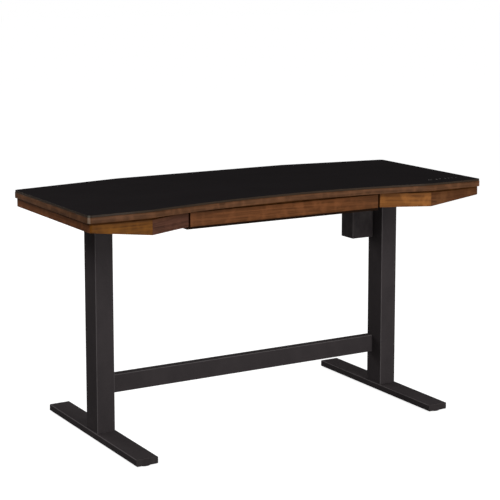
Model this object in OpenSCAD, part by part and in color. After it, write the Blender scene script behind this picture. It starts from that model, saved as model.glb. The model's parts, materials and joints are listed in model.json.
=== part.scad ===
// Height-adjustable writing desk: black glass top with a bowed front on a walnut-coloured apron,
// a shallow drawer, and a black steel frame with two motor-driven telescopic columns.
// Millimetres, +Z up, +Y towards the back. The origin is on the floor, midway between the columns.
// The desk is drawn at its lowest height.

/* [Top] */
// Width of the top
desk_w = 1400; // [1300:10:1600]
// Height of the glass above the floor at the lowest setting
desk_h = 752; // [740:1:800]
// Thickness of the glass
glass_t = 6; // [4:0.5:8]
// How far the glass edge stands in from the edge band
glass_inset = 1; // [0.5:0.5:3]
// Thickness of the wooden panel under the glass
panel_t = 18; // [18:1:25]
// Thickness of the solid edge band round the panel
band_t = 3; // [2:0.5:6]
// Distance from the column line to the straight ends of the front edge
front_y = 308; // [300:1:330]
// Half the length of the bowed stretch of the front edge, centre to knee
knee_x = 500; // [480:5:520]
// How far the middle of the front edge is drawn back behind its ends
bow = 56; // [30:1:58]
// Distance from the column line to the straight middle of the back edge
back_y = 308; // [300:1:340]
// Half the length of the straight middle of the back edge
flat_x = 315; // [200:5:400]
// How far the back edge has come forward at the corners
wing_drop = 62; // [20:1:70]
// Radius of the four corners of the top
corner_r = 14; // [8:1:20]

/* [Aprons] */
// Thickness of the apron boards
apron_t = 18; // [14:1:20]
// How far the aprons stand in from the edge of the top
apron_inset = 6; // [4:1:12]
// Radius of the outer corners of the aprons
apron_r = 10; // [4:1:14]
// How far the front apron stands in at the knees
knee_inset = 1; // [0.5:0.5:4]
// Depth of the aprons at the sides, the back and the corners
apron_h = 27; // [20:1:32]
// Depth of the front apron at the knees and beside the drawer
knee_h = 50; // [45:1:52]
// Leg of the glue blocks in the corners
block_l = 24; // [16:1:24]
// How much the glue blocks are shallower than the aprons
block_short = 4; // [1:1:10]

/* [Drawer] */
// Distance from the column line to the drawer's front face
drawer_y = 239; // [236:1:242]
// Width of the drawer front
drawer_w = 680; // [600:5:684]
// Gap between the drawer front and the apron at each side
drawer_gap = 5; // [3:0.5:8]
// Height of the drawer front
drawer_h = 48; // [44:1:48]
// Gap between the drawer front and the top
drawer_top_gap = 3; // [2:0.5:4]
// Thickness of the drawer front
drawer_front_t = 18; // [14:1:20]
// Thickness of the drawer's sides and back
drawer_side_t = 12; // [9:1:15]
// Thickness of the drawer bottom
drawer_bottom_t = 4; // [3:0.5:6]
// Length of the drawer box behind its front
drawer_l = 190; // [184:1:192]
// How far the drawer pulls out
drawer_travel = 150; // [100:5:150]
// Thickness of the black boards of the drawer housing
housing_t = 8; // [6:1:10]
// Thickness of the black board under the drawer
tray_t = 7.5; // [4:0.5:9]
// Gap between the drawer front and the board under it
tray_gap = 1.5; // [1:0.5:2]
// Width of each drawer runner, closed
runner_w = 12.7; // [12:0.1:14]
// Height of each drawer runner
runner_h = 27; // [25:1:28]
// Length of the runners that stays engaged when the drawer is out
runner_stay = 30; // [20:1:32]

/* [Columns] */
// Distance from the middle of the desk to each column's centre
column_x = 528; // [520:1:535]
// Width of the outer column, seen from the front
column_w = 60; // [56:1:64]
// Depth of the outer column, seen from the side
column_d = 80; // [76:1:84]
// Wall thickness of the column tubes
column_wall = 2; // [1.5:0.5:2]
// Radius of the tubes' edges
tube_r = 3; // [2:0.5:4]
// Space between the top of the outer column and the wooden panel
column_drop = 73; // [70:1:80]
// Gap between the outer and the inner column
slide_gap = 2; // [1.5:0.25:2.5]
// Running clearance of the plastic slide pads
pad_clear = 0.3; // [0.2:0.05:0.5]
// Length of the slide pads inside the columns
pad_l = 30; // [20:1:40]
// Height of the collar on top of the outer column
collar_t = 5; // [3:1:6]
// Free height of the inner column above the collar at the lowest setting
neck = 16; // [12:1:18]
// How far the top rises
lift_travel = 457; // [400:1:460]

/* [Feet and stretcher] */
// Width of each foot
foot_w = 70; // [66:1:90]
// Height of each foot
foot_h = 21; // [20:1:25]
// Length of each foot, end caps included
foot_l = 640; // [600:5:700]
// Wall thickness of the feet
foot_wall = 2; // [1.5:0.5:2.5]
// Thickness of the visible plate of the end caps
cap_t = 4; // [2:0.5:6]
// Gap between the floor and the feet
glide_gap = 4; // [3:0.5:6]
// Radius of the levelling glides
glide_r = 20; // [15:1:24]
// Distance from the end of the foot to the glide's centre
glide_in = 24; // [22:1:60]
// Height of the stretcher
stretcher_h = 58; // [50:1:80]
// Thickness of the stretcher
stretcher_t = 30; // [25:1:36]
// Height of the stretcher's lower edge above the floor
stretcher_z = 129; // [110:1:160]

/* [Frame under the top] */
// Length of each arm in front of the column line
arm_front = 250; // [240:1:252]
// Length of each arm behind the column line
arm_back = 225; // [215:1:235]
// Depth of the arms' folded flanges
arm_h = 14; // [12:1:15]
// Thickness of the arms' steel
arm_wall = 2.5; // [2:0.5:3]
// Depth of the crossbar
crossbar_h = 38; // [36:1:40]
// Width of the crossbar
crossbar_w = 64; // [60:1:66]
// Distance of the drive shaft behind the column line
shaft_y = 30; // [30:0.5:31]
// Distance of the drive shaft below the wooden panel
shaft_drop = 24; // [23.5:0.5:25]
// Width of the drive shaft across its flats
hex_af = 8; // [7:0.5:8]

/* [Motor and control] */
// Width of the motor cover
cover_w = 83; // [76:1:86]
// Depth of the motor cover
cover_d = 70; // [66:1:74]
// Height of the motor cover
cover_h = 161; // [150:1:180]
// Wall thickness of the motor cover
cover_wall = 2.5; // [2:0.5:3]
// Gap between the motor cover and the outer column
cover_gap = 1.5; // [1:0.5:3]
// Radius of the motor cover's upright edges
cover_r = 4; // [3:0.5:8]
// Radius of the motor
motor_r = 26; // [22:1:28]
// Length of the motor
motor_l = 130; // [110:1:134]
// Width of the control box
control_w = 110; // [90:1:112]
// Length of the control box
control_l = 140; // [100:1:145]
// Height of the control box
control_h = 28; // [26:1:36]
// Distance from the right edge of the top to the touch panel's centre
touch_in = 105; // [95:1:110]
// Distance from the ends of the front edge to the touch panel's centre
touch_back = 68; // [60:1:80]
// Length of the touch panel
touch_w = 130; // [120:1:140]
// Depth of the touch panel
touch_d = 44; // [36:1:46]
// Thickness of the touch panel
touch_t = 14; // [8:0.5:14]

/* [Hidden] */
$fn = 48;
steel = "#2d2b2c";
walnut = "#6f4527";
black = "#1d1c1d";
zinc = "#a8a9ab";

// Overlap of shapes that are joined, and overrun of cuts past the faces that they open
lap = 1;
// Depth by which welded and screwed pieces of one solid run into each other
weld = 0.25;
// Gap between two pieces that lie against each other without a fit
seat_gap = 0.3;
// Clearance round plugs and in pockets
fit_clear = 0.2;
// Radial clearance of turning and sliding fits
run = 0.05;
// Clearance of bolts and leads in their holes
hole_clear = 0.1;

// Levels, from the floor up
foot_top = glide_gap + foot_h;
plate_t = 10;
plate_top = foot_top + plate_t;
inner_rise = 10;
inner_bottom = plate_top + inner_rise;
panel_z = desk_h - glass_t - panel_t;
glass_z = desk_h - glass_t;
column_top = panel_z - column_drop;
head_z = column_top + collar_t + neck;
web_z = panel_z - arm_wall;
shaft_z = panel_z - shaft_drop;
crossbar_z = panel_z - crossbar_h;

// Feet and glides
cap_plug = 8;
glide_nut_r = 8;
glide_nut_h = 10;
glide_stem_r = 4;
glide_stem_short = 2;
foot_bolt_x = column_w / 2 - 12;
foot_bolt_y = column_d / 2 - 14;
foot_bolt_r = 4;
foot_bolt_head_r = 6.5;
foot_bolt_head_h = 5;
foot_bolt_short = 1;
tool_clear = 1.5;

// Sections of the inner column
inner_w = column_w - 2 * column_wall - 2 * slide_gap;
inner_d = column_d - 2 * column_wall - 2 * slide_gap;
column_in = column_x - column_w / 2;

// Spindles, their nuts, and the posts that hold the nuts
spindle_r = 8;
spindle_rise = 25;
spindle_end = plate_top + spindle_rise;
spindle_short = 2;
nut_h = 31;
nut_flange = 6;
nut_top = spindle_end + lift_travel + nut_h - spindle_short;
post_r = 15;
post_wall = 3;
post_flange_r = 21;
post_flange_h = 4;

// Crossed gears, drawn as plain drums on their pitch surfaces
mesh_gap = 0.3;
worm_r = 10;
worm_l = 24;
wheel_r = shaft_y - worm_r;
wheel_h = 16;
wheel_gap = 6;
wheel_z = shaft_z - wheel_h / 2;
bearing_h = 10;
bearing_r = 15;
bearing_z = wheel_z - wheel_gap - bearing_h;
shoulder_r = 12;
journal_r = 6;
journal_gap = 0.5;
gear_room = 2;
hex_r = hex_af / 2 / cos(30);
shaft_short = 3;

// Gear housings
head_wall = 3;
arm_clear = 0.5;
head_w = column_w - 2 * arm_wall - 2 * arm_clear;
head_front = inner_d / 2;
head_back_wall = 6;
head_back = shaft_y + worm_r + head_back_wall;
spigot_l = 10;

// Arms and crossbar
crossbar_wall = 2;
crossbar_end_t = 3;
shaft_hole_r = 12;
stretcher_end_t = 3;

// Motor
cover_right = column_in - cover_gap;
cover_ahead = 20;
cover_front = shaft_y - cover_ahead;
motor_x = cover_right - cover_w / 2;
motor_can_y = cover_front + cover_d / 2;
motor_plate_t = 6;
motor_boss_r = 9;
motor_boss_h = 4;
motor_wheel_r = 14;
motor_wheel_w = 12;
motor_worm_r = 6;
motor_worm_l = 16;
motor_shaft_r = 4;
motor_y = shaft_y + motor_wheel_r + motor_worm_r;
gearbox_half = 25;
gearbox_room = 1.5;
gearbox_drop = 4;

// Bolts and screws
bolt_r = 3;
bolt_head_r = 5;
bolt_head_h = 3.5;
bolt_bite = 9;
housing_bolt_y = 22;
housing_bolt_z = web_z - 6;
crossbar_bolt_in = 12;
crossbar_bolt_z = panel_z - 7.5;
crossbar_bolt_head_r = 4.5;
stretcher_bolt_in = 14;
screw_r = 2.2;
screw_head_r = 4.5;
screw_head_h = 3;
screw_l = 14;
screw_front = 55;
screw_back = 20;
screw_mid = 110;
arm_screw_y = [-arm_front + screw_front, -screw_mid, screw_mid, arm_back - screw_back];

// Drawer and its housing
front_z = panel_z - drawer_top_gap - drawer_h;
front_back_y = -drawer_y + drawer_front_t;
housing_gap = 1;
housing_out = drawer_w / 2 + drawer_gap + housing_gap;
housing_in = housing_out - housing_t;
tray_top = front_z - tray_gap;
tray_setback = 9;
tray_front = -drawer_y + tray_setback;
box_rise = 5.5;
box_z = tray_top + box_rise;
box_drop = 9;
box_top = panel_z - box_drop;
box_half = housing_in - runner_w;
box_in = box_half - drawer_side_t;
box_back = front_back_y + drawer_l;
housing_front_gap = 2;
housing_front = front_back_y + housing_front_gap;
housing_past = 6;
housing_back = box_back + housing_past;
runner_setback = 5;
runner_front = front_back_y + runner_setback;
runner_back = runner_front + drawer_travel + runner_stay;
runner_mid = (box_z + box_top) / 2;
runner_steel = 1.5;
runner_gap = 0.4;
runner_lip = box_half + 3;

// Control box, between the drawer housing and the arm, and its inlet
control_x = (housing_out + column_in - control_w) / 2;
control_front = -200;
control_back = control_front + control_l;
control_z = panel_z - control_h;
control_wall = 2;
inlet_size = [28, 20, 20];
inlet_in = 30;
inlet_x = control_x + inlet_in;
inlet_rise = 13;
inlet_z = control_z + inlet_rise;
inlet_rim = 2;
inlet_wall = 2;
inlet_depth = 13;
pin_size = [2, 10, 4];
pin_places = [[-7, -2], [0, 3], [7, -2]];

// Touch panel and leads
touch_x = desk_w / 2 - touch_in;
touch_y = -front_y + touch_back;
touch_z = glass_z - touch_t;
lead_r = 2;
lead_bend = 5;
lead_z = panel_z - lead_bend;
lead_gap = 7;
lead_y = -arm_front - lead_gap;
lead_in = 12;
lead_x = control_x + control_w - lead_in;
touch_lead_in = 20;
touch_lead_x = touch_x + touch_w / 2 - touch_lead_in;
lead_tail = 3;
motor_lead_r = 3;
motor_lead_x = motor_x - 15;
motor_lead_z = shaft_z + 8;
clip_size = [10, 10, 8];
clip_gap = 20;

// Plan geometry

// Unit vector from a to b
function heading(a, b) = (b - a) / norm(b - a);

// Left-hand normal of the line from a to b
function left_of(a, b) = let (u = heading(a, b)) [-u[1], u[0]];

// Where the line through p along u meets the line through q along v
function meet(p, u, q, v) =
    let (d = u[0] * v[1] - u[1] * v[0], w = q - p) p + u * ((w[0] * v[1] - w[1] * v[0]) / d);

// Corner b of an outline, drawn in by t on both sides; the inside is on the left
function drawn_in(a, b, c, t) =
    meet(b + left_of(a, b) * t, heading(a, b), b + left_of(b, c) * t, heading(b, c));

// Points of a round corner of radius r at b
function round_corner(a, b, c, r, n = 6) =
    let (
        u = heading(b, a),
        v = heading(b, c),
        half = acos(u * v) / 2,
        centre = b + heading([0, 0], u + v) * (r / sin(half)),
        start = b + u * (r / tan(half)) - centre,
        angle = atan2(start[1], start[0])
    )
    [for (i = [0:n]) centre + r * [cos(angle + (180 - 2 * half) * i / n),
                                   sin(angle + (180 - 2 * half) * i / n)]];

function flipped(points) = [for (i = [len(points) - 1:-1:0]) [-points[i][0], points[i][1]]];

bow_r = (knee_x * knee_x + bow * bow) / (2 * bow);
bow_steps = 60;

// The bowed stretch of the front edge, drawn in by e, from the left knee to the right
function bow_points(e) =
    let (
        r = bow_r + e,
        centre_y = -front_y + bow - bow_r,
        half = acos((r - bow) / r)
    )
    [for (i = [0:bow_steps]) let (a = 90 + half - 2 * half * i / bow_steps)
        [r * cos(a), centre_y + r * sin(a)]];

knee = [knee_x, -front_y];
front_corner = [desk_w / 2, -front_y];
back_corner = [desk_w / 2, back_y - wing_drop];
back_flat = [flat_x, back_y];
back_flat_left = [-flat_x, back_y];

// Outline of the top, drawn in by e
function top_outline(e) =
    let (
        b = drawn_in(knee, front_corner, back_corner, e),
        c = drawn_in(front_corner, back_corner, back_flat, e),
        d = drawn_in(back_corner, back_flat, back_flat_left, e),
        r = corner_r - e,
        right = concat(round_corner(b - [1, 0], b, c, r), round_corner(b, c, d, r), [d])
    )
    concat(bow_points(e), right, flipped(right));

// Outer corners of the aprons on the right, from the drawer round to the back
apron_end = [drawer_w / 2 + drawer_gap, -drawer_y];
apron_knee = [knee_x - 2, -front_y + knee_inset];
apron_corner = drawn_in(knee, front_corner, back_corner, apron_inset);
apron_back = drawn_in(front_corner, back_corner, back_flat, apron_inset);
apron_flat = drawn_in(back_corner, back_flat, back_flat_left, apron_inset);
apron_flat_left = [-apron_flat[0], apron_flat[1]];

// Rounds of these corners, which two boards share half and half at their mitre
front_round = round_corner(apron_knee, apron_corner, apron_back, apron_r);
back_round = round_corner(apron_corner, apron_back, apron_flat, apron_r);
mitre = (len(front_round) - 1) / 2;
function to_mitre(points) = [for (i = [0:mitre]) points[i]];
function from_mitre(points) = [for (i = [mitre:len(points) - 1]) points[i]];

// Their inner corners
end_in = meet(apron_end + left_of(apron_end, apron_knee) * apron_t,
    heading(apron_end, apron_knee), apron_end, [0, 1]);
knee_in = drawn_in(apron_end, apron_knee, apron_corner, apron_t);
corner_in = drawn_in(apron_knee, apron_corner, apron_back, apron_t);
back_in = drawn_in(apron_corner, apron_back, apron_flat, apron_t);
flat_in = drawn_in(apron_back, apron_flat, apron_flat_left, apron_t);

// Shared shapes

module both_sides() {
    children();
    mirror([1, 0, 0]) children();
}

// A block given by its lowest and highest corner
module block(low, high) {
    translate(low) cube(high - low);
}

// A rectangle round the origin with rounded corners
module rounded(w, d, r) {
    square([w - 2 * r, d], center = true);
    square([w, d - 2 * r], center = true);
    for (x = [-1, 1], y = [-1, 1])
        translate([x * (w / 2 - r), y * (d / 2 - r)]) circle(r);
}

// Cross-section of a rectangular tube
module tube_section(w, d, wall, r) {
    difference() {
        rounded(w, d, r);
        rounded(w - 2 * wall, d - 2 * wall, max(r - wall, 0.5));
    }
}

// Cylinder along X, starting at x
module rod_x(r, x, l) {
    translate([x, 0, 0]) rotate([0, 90, 0]) cylinder(r = r, h = l);
}

// Board of an apron: its plan, standing down from the wooden panel
module apron_board(plan, h) {
    translate([0, 0, panel_z - h]) linear_extrude(h) polygon(plan);
}

// Feet, end caps and glides

module foot_holes() {
    for (x = [-1, 1], y = [-1, 1]) translate([x * foot_bolt_x, y * foot_bolt_y, 0]) {
        translate([0, 0, glide_gap - lap])
            cylinder(r = foot_bolt_head_r + tool_clear, h = foot_wall + 2 * lap);
        translate([0, 0, foot_top - foot_wall - lap])
            cylinder(r = foot_bolt_r + hole_clear, h = foot_wall + 2 * lap);
    }
    for (y = [-1, 1]) translate([0, y * (foot_l / 2 - glide_in), glide_gap - lap])
        cylinder(r = glide_stem_r + run, h = foot_wall + glide_nut_h + 2 * lap);
}

// Foot, with the nuts for the glides welded into it
module foot() {
    difference() {
        union() {
            translate([0, foot_l / 2 - cap_t, glide_gap + foot_h / 2]) rotate([90, 0, 0])
                linear_extrude(foot_l - 2 * cap_t) tube_section(foot_w, foot_h, foot_wall, tube_r);
            for (y = [-1, 1])
                translate([0, y * (foot_l / 2 - glide_in), glide_gap + foot_wall / 2])
                    cylinder(r = glide_nut_r, h = glide_nut_h);
        }
        foot_holes();
    }
}

module left_foot() {
    color(steel) translate([-column_x, 0, 0]) foot();
}

module right_foot() {
    color(steel) translate([column_x, 0, 0]) foot();
}

// Plastic plug with a visible end plate, at the back end of a foot
module end_cap() {
    translate([0, foot_l / 2, glide_gap + foot_h / 2]) rotate([90, 0, 0]) {
        linear_extrude(cap_t) rounded(foot_w, foot_h, tube_r);
        linear_extrude(cap_t + cap_plug)
            rounded(foot_w - 2 * (foot_wall + fit_clear), foot_h - 2 * (foot_wall + fit_clear),
                tube_r - foot_wall);
    }
}

module foot_end_caps() {
    color(black) both_sides() translate([column_x, 0, 0]) {
        end_cap();
        mirror([0, 1, 0]) end_cap();
    }
}

// Levelling glide: a round foot on a threaded stem that screws into the nut in the foot
module glide() {
    cylinder(r = glide_r, h = glide_gap - seat_gap);
    cylinder(r = glide_stem_r, h = glide_gap + foot_wall / 2 + glide_nut_h - glide_stem_short);
}

module glide_at(x, y) {
    color(black) translate([x * column_x, y * (foot_l / 2 - glide_in), 0]) glide();
}

module front_left_glide() {
    glide_at(-1, -1);
}

module front_right_glide() {
    glide_at(1, -1);
}

module rear_left_glide() {
    glide_at(-1, 1);
}

module rear_right_glide() {
    glide_at(1, 1);
}

// Columns

// Outer column with the plate welded into its lower end
module outer_column() {
    difference() {
        union() {
            translate([0, 0, foot_top]) linear_extrude(column_top - foot_top)
                tube_section(column_w, column_d, column_wall, tube_r);
            translate([0, 0, foot_top]) linear_extrude(plate_t)
                rounded(column_w - 2 * (column_wall - weld), column_d - 2 * (column_wall - weld),
                    tube_r - column_wall);
        }
        for (x = [-1, 1], y = [-1, 1])
            translate([x * foot_bolt_x, y * foot_bolt_y, foot_top - lap])
                cylinder(r = foot_bolt_r + hole_clear, h = plate_t + 2 * lap);
        stretcher_bolt_places()
            rod_x(bolt_r + hole_clear, -column_w / 2 - lap, column_wall + 2 * lap);
    }
}

// The stretcher's bolts lie on the inner face of the right column, seen from its centre
module stretcher_bolt_places() {
    for (z = [-1, 1])
        translate([0, column_d / 2 - stretcher_t / 2,
            stretcher_z + stretcher_h / 2 + z * (stretcher_h / 2 - stretcher_bolt_in)]) children();
}

module left_outer_column() {
    color(steel) mirror([1, 0, 0]) translate([column_x, 0, 0]) outer_column();
}

module right_outer_column() {
    color(steel) translate([column_x, 0, 0]) outer_column();
}

// Plastic collar on top of the outer column, with the bush that guides the inner column
module column_collars() {
    color(black) both_sides() translate([column_x, 0, 0]) difference() {
        union() {
            translate([0, 0, column_top]) linear_extrude(collar_t)
                rounded(column_w, column_d, tube_r);
            translate([0, 0, column_top - pad_l]) linear_extrude(pad_l + lap)
                rounded(column_w - 2 * (column_wall + run), column_d - 2 * (column_wall + run),
                    tube_r - column_wall);
        }
        translate([0, 0, column_top - pad_l - lap]) linear_extrude(pad_l + collar_t + 2 * lap)
            rounded(inner_w + 2 * pad_clear, inner_d + 2 * pad_clear, tube_r);
    }
}

module inner_column() {
    translate([0, 0, inner_bottom]) linear_extrude(head_z - inner_bottom)
        tube_section(inner_w, inner_d, column_wall, tube_r);
}

module left_inner_column() {
    color(steel) translate([-column_x, 0, 0]) inner_column();
}

module right_inner_column() {
    color(steel) translate([column_x, 0, 0]) inner_column();
}

// Plastic rings on the lower ends of the inner columns
module column_slide_pads() {
    color(black) both_sides() translate([column_x, 0, inner_bottom]) linear_extrude(pad_l)
        difference() {
            rounded(inner_w + 2 * (slide_gap - pad_clear), inner_d + 2 * (slide_gap - pad_clear),
                tube_r - column_wall);
            rounded(inner_w + 2 * run, inner_d + 2 * run, tube_r);
        }
}

// Tube that stands on the column's base plate and holds the spindle nut up
module nut_posts() {
    color(zinc) both_sides() translate([column_x, 0, plate_top]) difference() {
        union() {
            cylinder(r = post_flange_r, h = post_flange_h);
            cylinder(r = post_r, h = nut_top - nut_flange - plate_top);
        }
        translate([0, 0, -lap])
            cylinder(r = post_r - post_wall, h = nut_top - nut_flange - plate_top + 2 * lap);
    }
}

module spindle_nuts() {
    color("white") both_sides() translate([column_x, 0, nut_top - nut_h]) difference() {
        union() {
            cylinder(r = post_r - post_wall - run, h = nut_h);
            translate([0, 0, nut_h - nut_flange]) cylinder(r = post_r, h = nut_flange);
        }
        translate([0, 0, -lap]) cylinder(r = spindle_r + run, h = nut_h + 2 * lap);
    }
}

// Stretcher and bolts

module stretcher() {
    l = 2 * column_in;
    color(steel) translate([0, column_d / 2 - stretcher_t / 2, stretcher_z + stretcher_h / 2])
        difference() {
            union() {
                translate([-l / 2 + stretcher_end_t / 2, 0, 0]) rotate([90, 0, 90])
                    linear_extrude(l - stretcher_end_t)
                        tube_section(stretcher_t, stretcher_h, column_wall, tube_r);
                for (x = [-l / 2, l / 2 - stretcher_end_t]) translate([x, 0, 0]) rotate([90, 0, 90])
                    linear_extrude(stretcher_end_t) rounded(stretcher_t, stretcher_h, tube_r);
            }
            for (z = [-1, 1]) translate([0, 0, z * (stretcher_h / 2 - stretcher_bolt_in)])
                rod_x(bolt_r + hole_clear, -l / 2 - lap, l + 2 * lap);
        }
}

module foot_bolt() {
    z = foot_top - foot_wall;
    translate([0, 0, z]) cylinder(r = foot_bolt_r, h = foot_wall + plate_t - foot_bolt_short);
    translate([0, 0, z - foot_bolt_head_h])
        cylinder(r = foot_bolt_head_r, h = foot_bolt_head_h);
}

// Bolts through the feet into the columns, and from inside the stretcher into the columns
module base_bolts() {
    head_x = -column_w / 2 - stretcher_end_t;
    color(zinc) both_sides() translate([column_x, 0, 0]) {
        for (x = [-1, 1], y = [-1, 1])
            translate([x * foot_bolt_x, y * foot_bolt_y, 0]) foot_bolt();
        stretcher_bolt_places() {
            rod_x(bolt_r, head_x, stretcher_end_t + column_wall);
            rod_x(bolt_head_r, head_x - bolt_head_h, bolt_head_h);
        }
    }
}

// Gear housings, bearings, spindles and drive shaft

// Places of the bolts between an arm's outer flange and the gear housing; the inner flange has
// only the front one, because the crossbar covers the other
module housing_bolt_places() {
    for (y = [-1, 1]) translate([0, y * housing_bolt_y, housing_bolt_z]) children();
    translate([0, -housing_bolt_y, housing_bolt_z]) mirror([1, 0, 0]) children();
}

module gear_housing() {
    difference() {
        union() {
            block([-head_w / 2, -head_front, head_z], [head_w / 2, head_back, web_z]);
            translate([0, 0, head_z - spigot_l]) linear_extrude(spigot_l + lap)
                rounded(inner_w - 2 * (column_wall + fit_clear),
                    inner_d - 2 * (column_wall + fit_clear), tube_r - column_wall);
        }
        translate([0, 0, wheel_z - wheel_gap])
            cylinder(r = wheel_r + gear_room, h = wheel_h + 2 * wheel_gap);
        translate([0, 0, bearing_z]) cylinder(r = bearing_r + run, h = bearing_h + lap);
        translate([0, 0, head_z - spigot_l - lap])
            cylinder(r = spindle_r + gear_room, h = bearing_z - head_z + spigot_l + 2 * lap);
        translate([0, shaft_y, shaft_z]) {
            rod_x(worm_r + gear_room, -worm_l / 2 - gear_room, worm_l + 2 * gear_room);
            rod_x(journal_r + run, -head_w / 2 - lap, head_w - head_wall + lap);
        }
        housing_bolt_places()
            rod_x(bolt_r + hole_clear, head_w / 2 - bolt_bite - lap, bolt_bite + 2 * lap);
    }
}

module left_gear_housing() {
    color(zinc) mirror([1, 0, 0]) translate([column_x, 0, 0]) gear_housing();
}

module right_gear_housing() {
    color(zinc) translate([column_x, 0, 0]) gear_housing();
}

module spindle_bearings() {
    color(zinc) both_sides() translate([column_x, 0, bearing_z]) difference() {
        cylinder(r = bearing_r, h = bearing_h);
        translate([0, 0, -lap]) cylinder(r = spindle_r + run, h = bearing_h + 2 * lap);
    }
}

// Lifting spindle with the gear on its upper end
module spindle() {
    translate([0, 0, spindle_end]) cylinder(r = spindle_r, h = wheel_z + wheel_h - spindle_end);
    translate([0, 0, bearing_z + bearing_h + mesh_gap])
        cylinder(r = shoulder_r, h = wheel_gap);
    translate([0, 0, wheel_z]) cylinder(r = wheel_r, h = wheel_h);
}

module left_spindle() {
    color(zinc) translate([-column_x, 0, 0]) spindle();
}

module right_spindle() {
    color(zinc) translate([column_x, 0, 0]) spindle();
}

module drive_shaft() {
    l = 2 * (column_x + head_w / 2 - head_wall - shaft_short);
    color(zinc) translate([0, shaft_y, shaft_z]) rotate([0, 90, 0])
        cylinder(r = hex_r, h = l, center = true, $fn = 6);
}

// Drum with a six-sided hole that slides onto the drive shaft, on x from low to high
module shaft_drum(r, low, high) {
    rod_x(r, low, high - low);
}

module shaft_hole(l) {
    rotate([0, 90, 0]) cylinder(r = hex_r + run, h = l, center = true, $fn = 6);
}

// The worms in the gear housings, with their journals, and the wheel that the motor turns
module shaft_worms() {
    color("goldenrod") translate([0, shaft_y, shaft_z]) {
        both_sides() translate([column_x, 0, 0]) difference() {
            union() {
                shaft_drum(worm_r - mesh_gap, -worm_l / 2, worm_l / 2);
                shaft_drum(journal_r, -head_w / 2 + journal_gap,
                    head_w / 2 - head_wall - journal_gap);
            }
            shaft_hole(3 * worm_l);
        }
        translate([motor_x, 0, 0]) difference() {
            shaft_drum(motor_wheel_r - mesh_gap, -motor_wheel_w / 2, motor_wheel_w / 2);
            shaft_hole(2 * motor_wheel_w);
        }
    }
}

// Arms and crossbar under the top

module arm() {
    w = column_w;
    difference() {
        block([-w / 2, -arm_front, panel_z - arm_h], [w / 2, arm_back, panel_z]);
        block([-w / 2 + arm_wall, -arm_front - lap, panel_z - arm_h - lap],
            [w / 2 - arm_wall, arm_back + lap, web_z]);
        for (y = arm_screw_y) translate([0, y, web_z - lap])
            cylinder(r = screw_r + hole_clear, h = arm_wall + 2 * lap);
        housing_bolt_places()
            rod_x(bolt_r + hole_clear, w / 2 - arm_wall - lap, arm_wall + 2 * lap);
        crossbar_bolt_places() rod_x(bolt_r + hole_clear, -w / 2 - lap, arm_wall + 2 * lap);
    }
}

module crossbar_bolt_places() {
    for (y = [-1, 1])
        translate([0, shaft_y + y * (crossbar_w / 2 - crossbar_bolt_in), crossbar_bolt_z])
            children();
}

module left_arm() {
    color(steel) mirror([1, 0, 0]) translate([column_x, 0, 0]) arm();
}

module right_arm() {
    color(steel) translate([column_x, 0, 0]) arm();
}

// Channel, open downwards, that carries the drive shaft's housing from arm to arm
module crossbar() {
    front = shaft_y - crossbar_w / 2;
    back = shaft_y + crossbar_w / 2;
    color(steel) difference() {
        block([-column_in, front, crossbar_z], [column_in, back, panel_z]);
        block([-column_in + crossbar_end_t, front + crossbar_wall, crossbar_z - lap],
            [column_in - crossbar_end_t, back - crossbar_wall, panel_z - crossbar_wall]);
        translate([0, shaft_y, shaft_z])
            rod_x(shaft_hole_r, -column_in - lap, 2 * (column_in + lap));
        both_sides() translate([column_x, 0, 0]) crossbar_bolt_places()
            rod_x(bolt_r + hole_clear, -column_w / 2 - crossbar_end_t - lap,
                crossbar_end_t + 2 * lap);
        translate([motor_lead_x, front - lap, motor_lead_z]) rotate([-90, 0, 0])
            cylinder(r = motor_lead_r + hole_clear, h = crossbar_wall + 2 * lap);
    }
}

module screw() {
    translate([0, 0, web_z - screw_head_h]) cylinder(r = screw_head_r, h = screw_head_h);
    translate([0, 0, web_z - weld]) cylinder(r = screw_r, h = screw_l);
}

module arm_screws() {
    color(zinc) both_sides() for (y = arm_screw_y) translate([column_x, y, 0]) screw();
}

// Bolts from the arms into the gear housings and from the crossbar into the arms
module frame_bolts() {
    head_x = -column_w / 2 - crossbar_end_t;
    color(zinc) both_sides() translate([column_x, 0, 0]) {
        housing_bolt_places() {
            rod_x(bolt_r, head_w / 2 - bolt_bite, (column_w - head_w) / 2 + bolt_bite + weld);
            rod_x(bolt_head_r, column_w / 2, bolt_head_h);
        }
        crossbar_bolt_places() {
            rod_x(bolt_r, head_x - weld, crossbar_end_t + arm_wall + weld);
            rod_x(crossbar_bolt_head_r, head_x - bolt_head_h, bolt_head_h);
        }
    }
}

// Motor

module motor_can() {
    color(zinc) translate([motor_x, motor_can_y, crossbar_z - motor_plate_t - motor_l]) {
        cylinder(r = motor_r, h = motor_l);
        translate([0, 0, -motor_boss_h]) cylinder(r = motor_boss_r, h = motor_boss_h + lap);
    }
}

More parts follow.
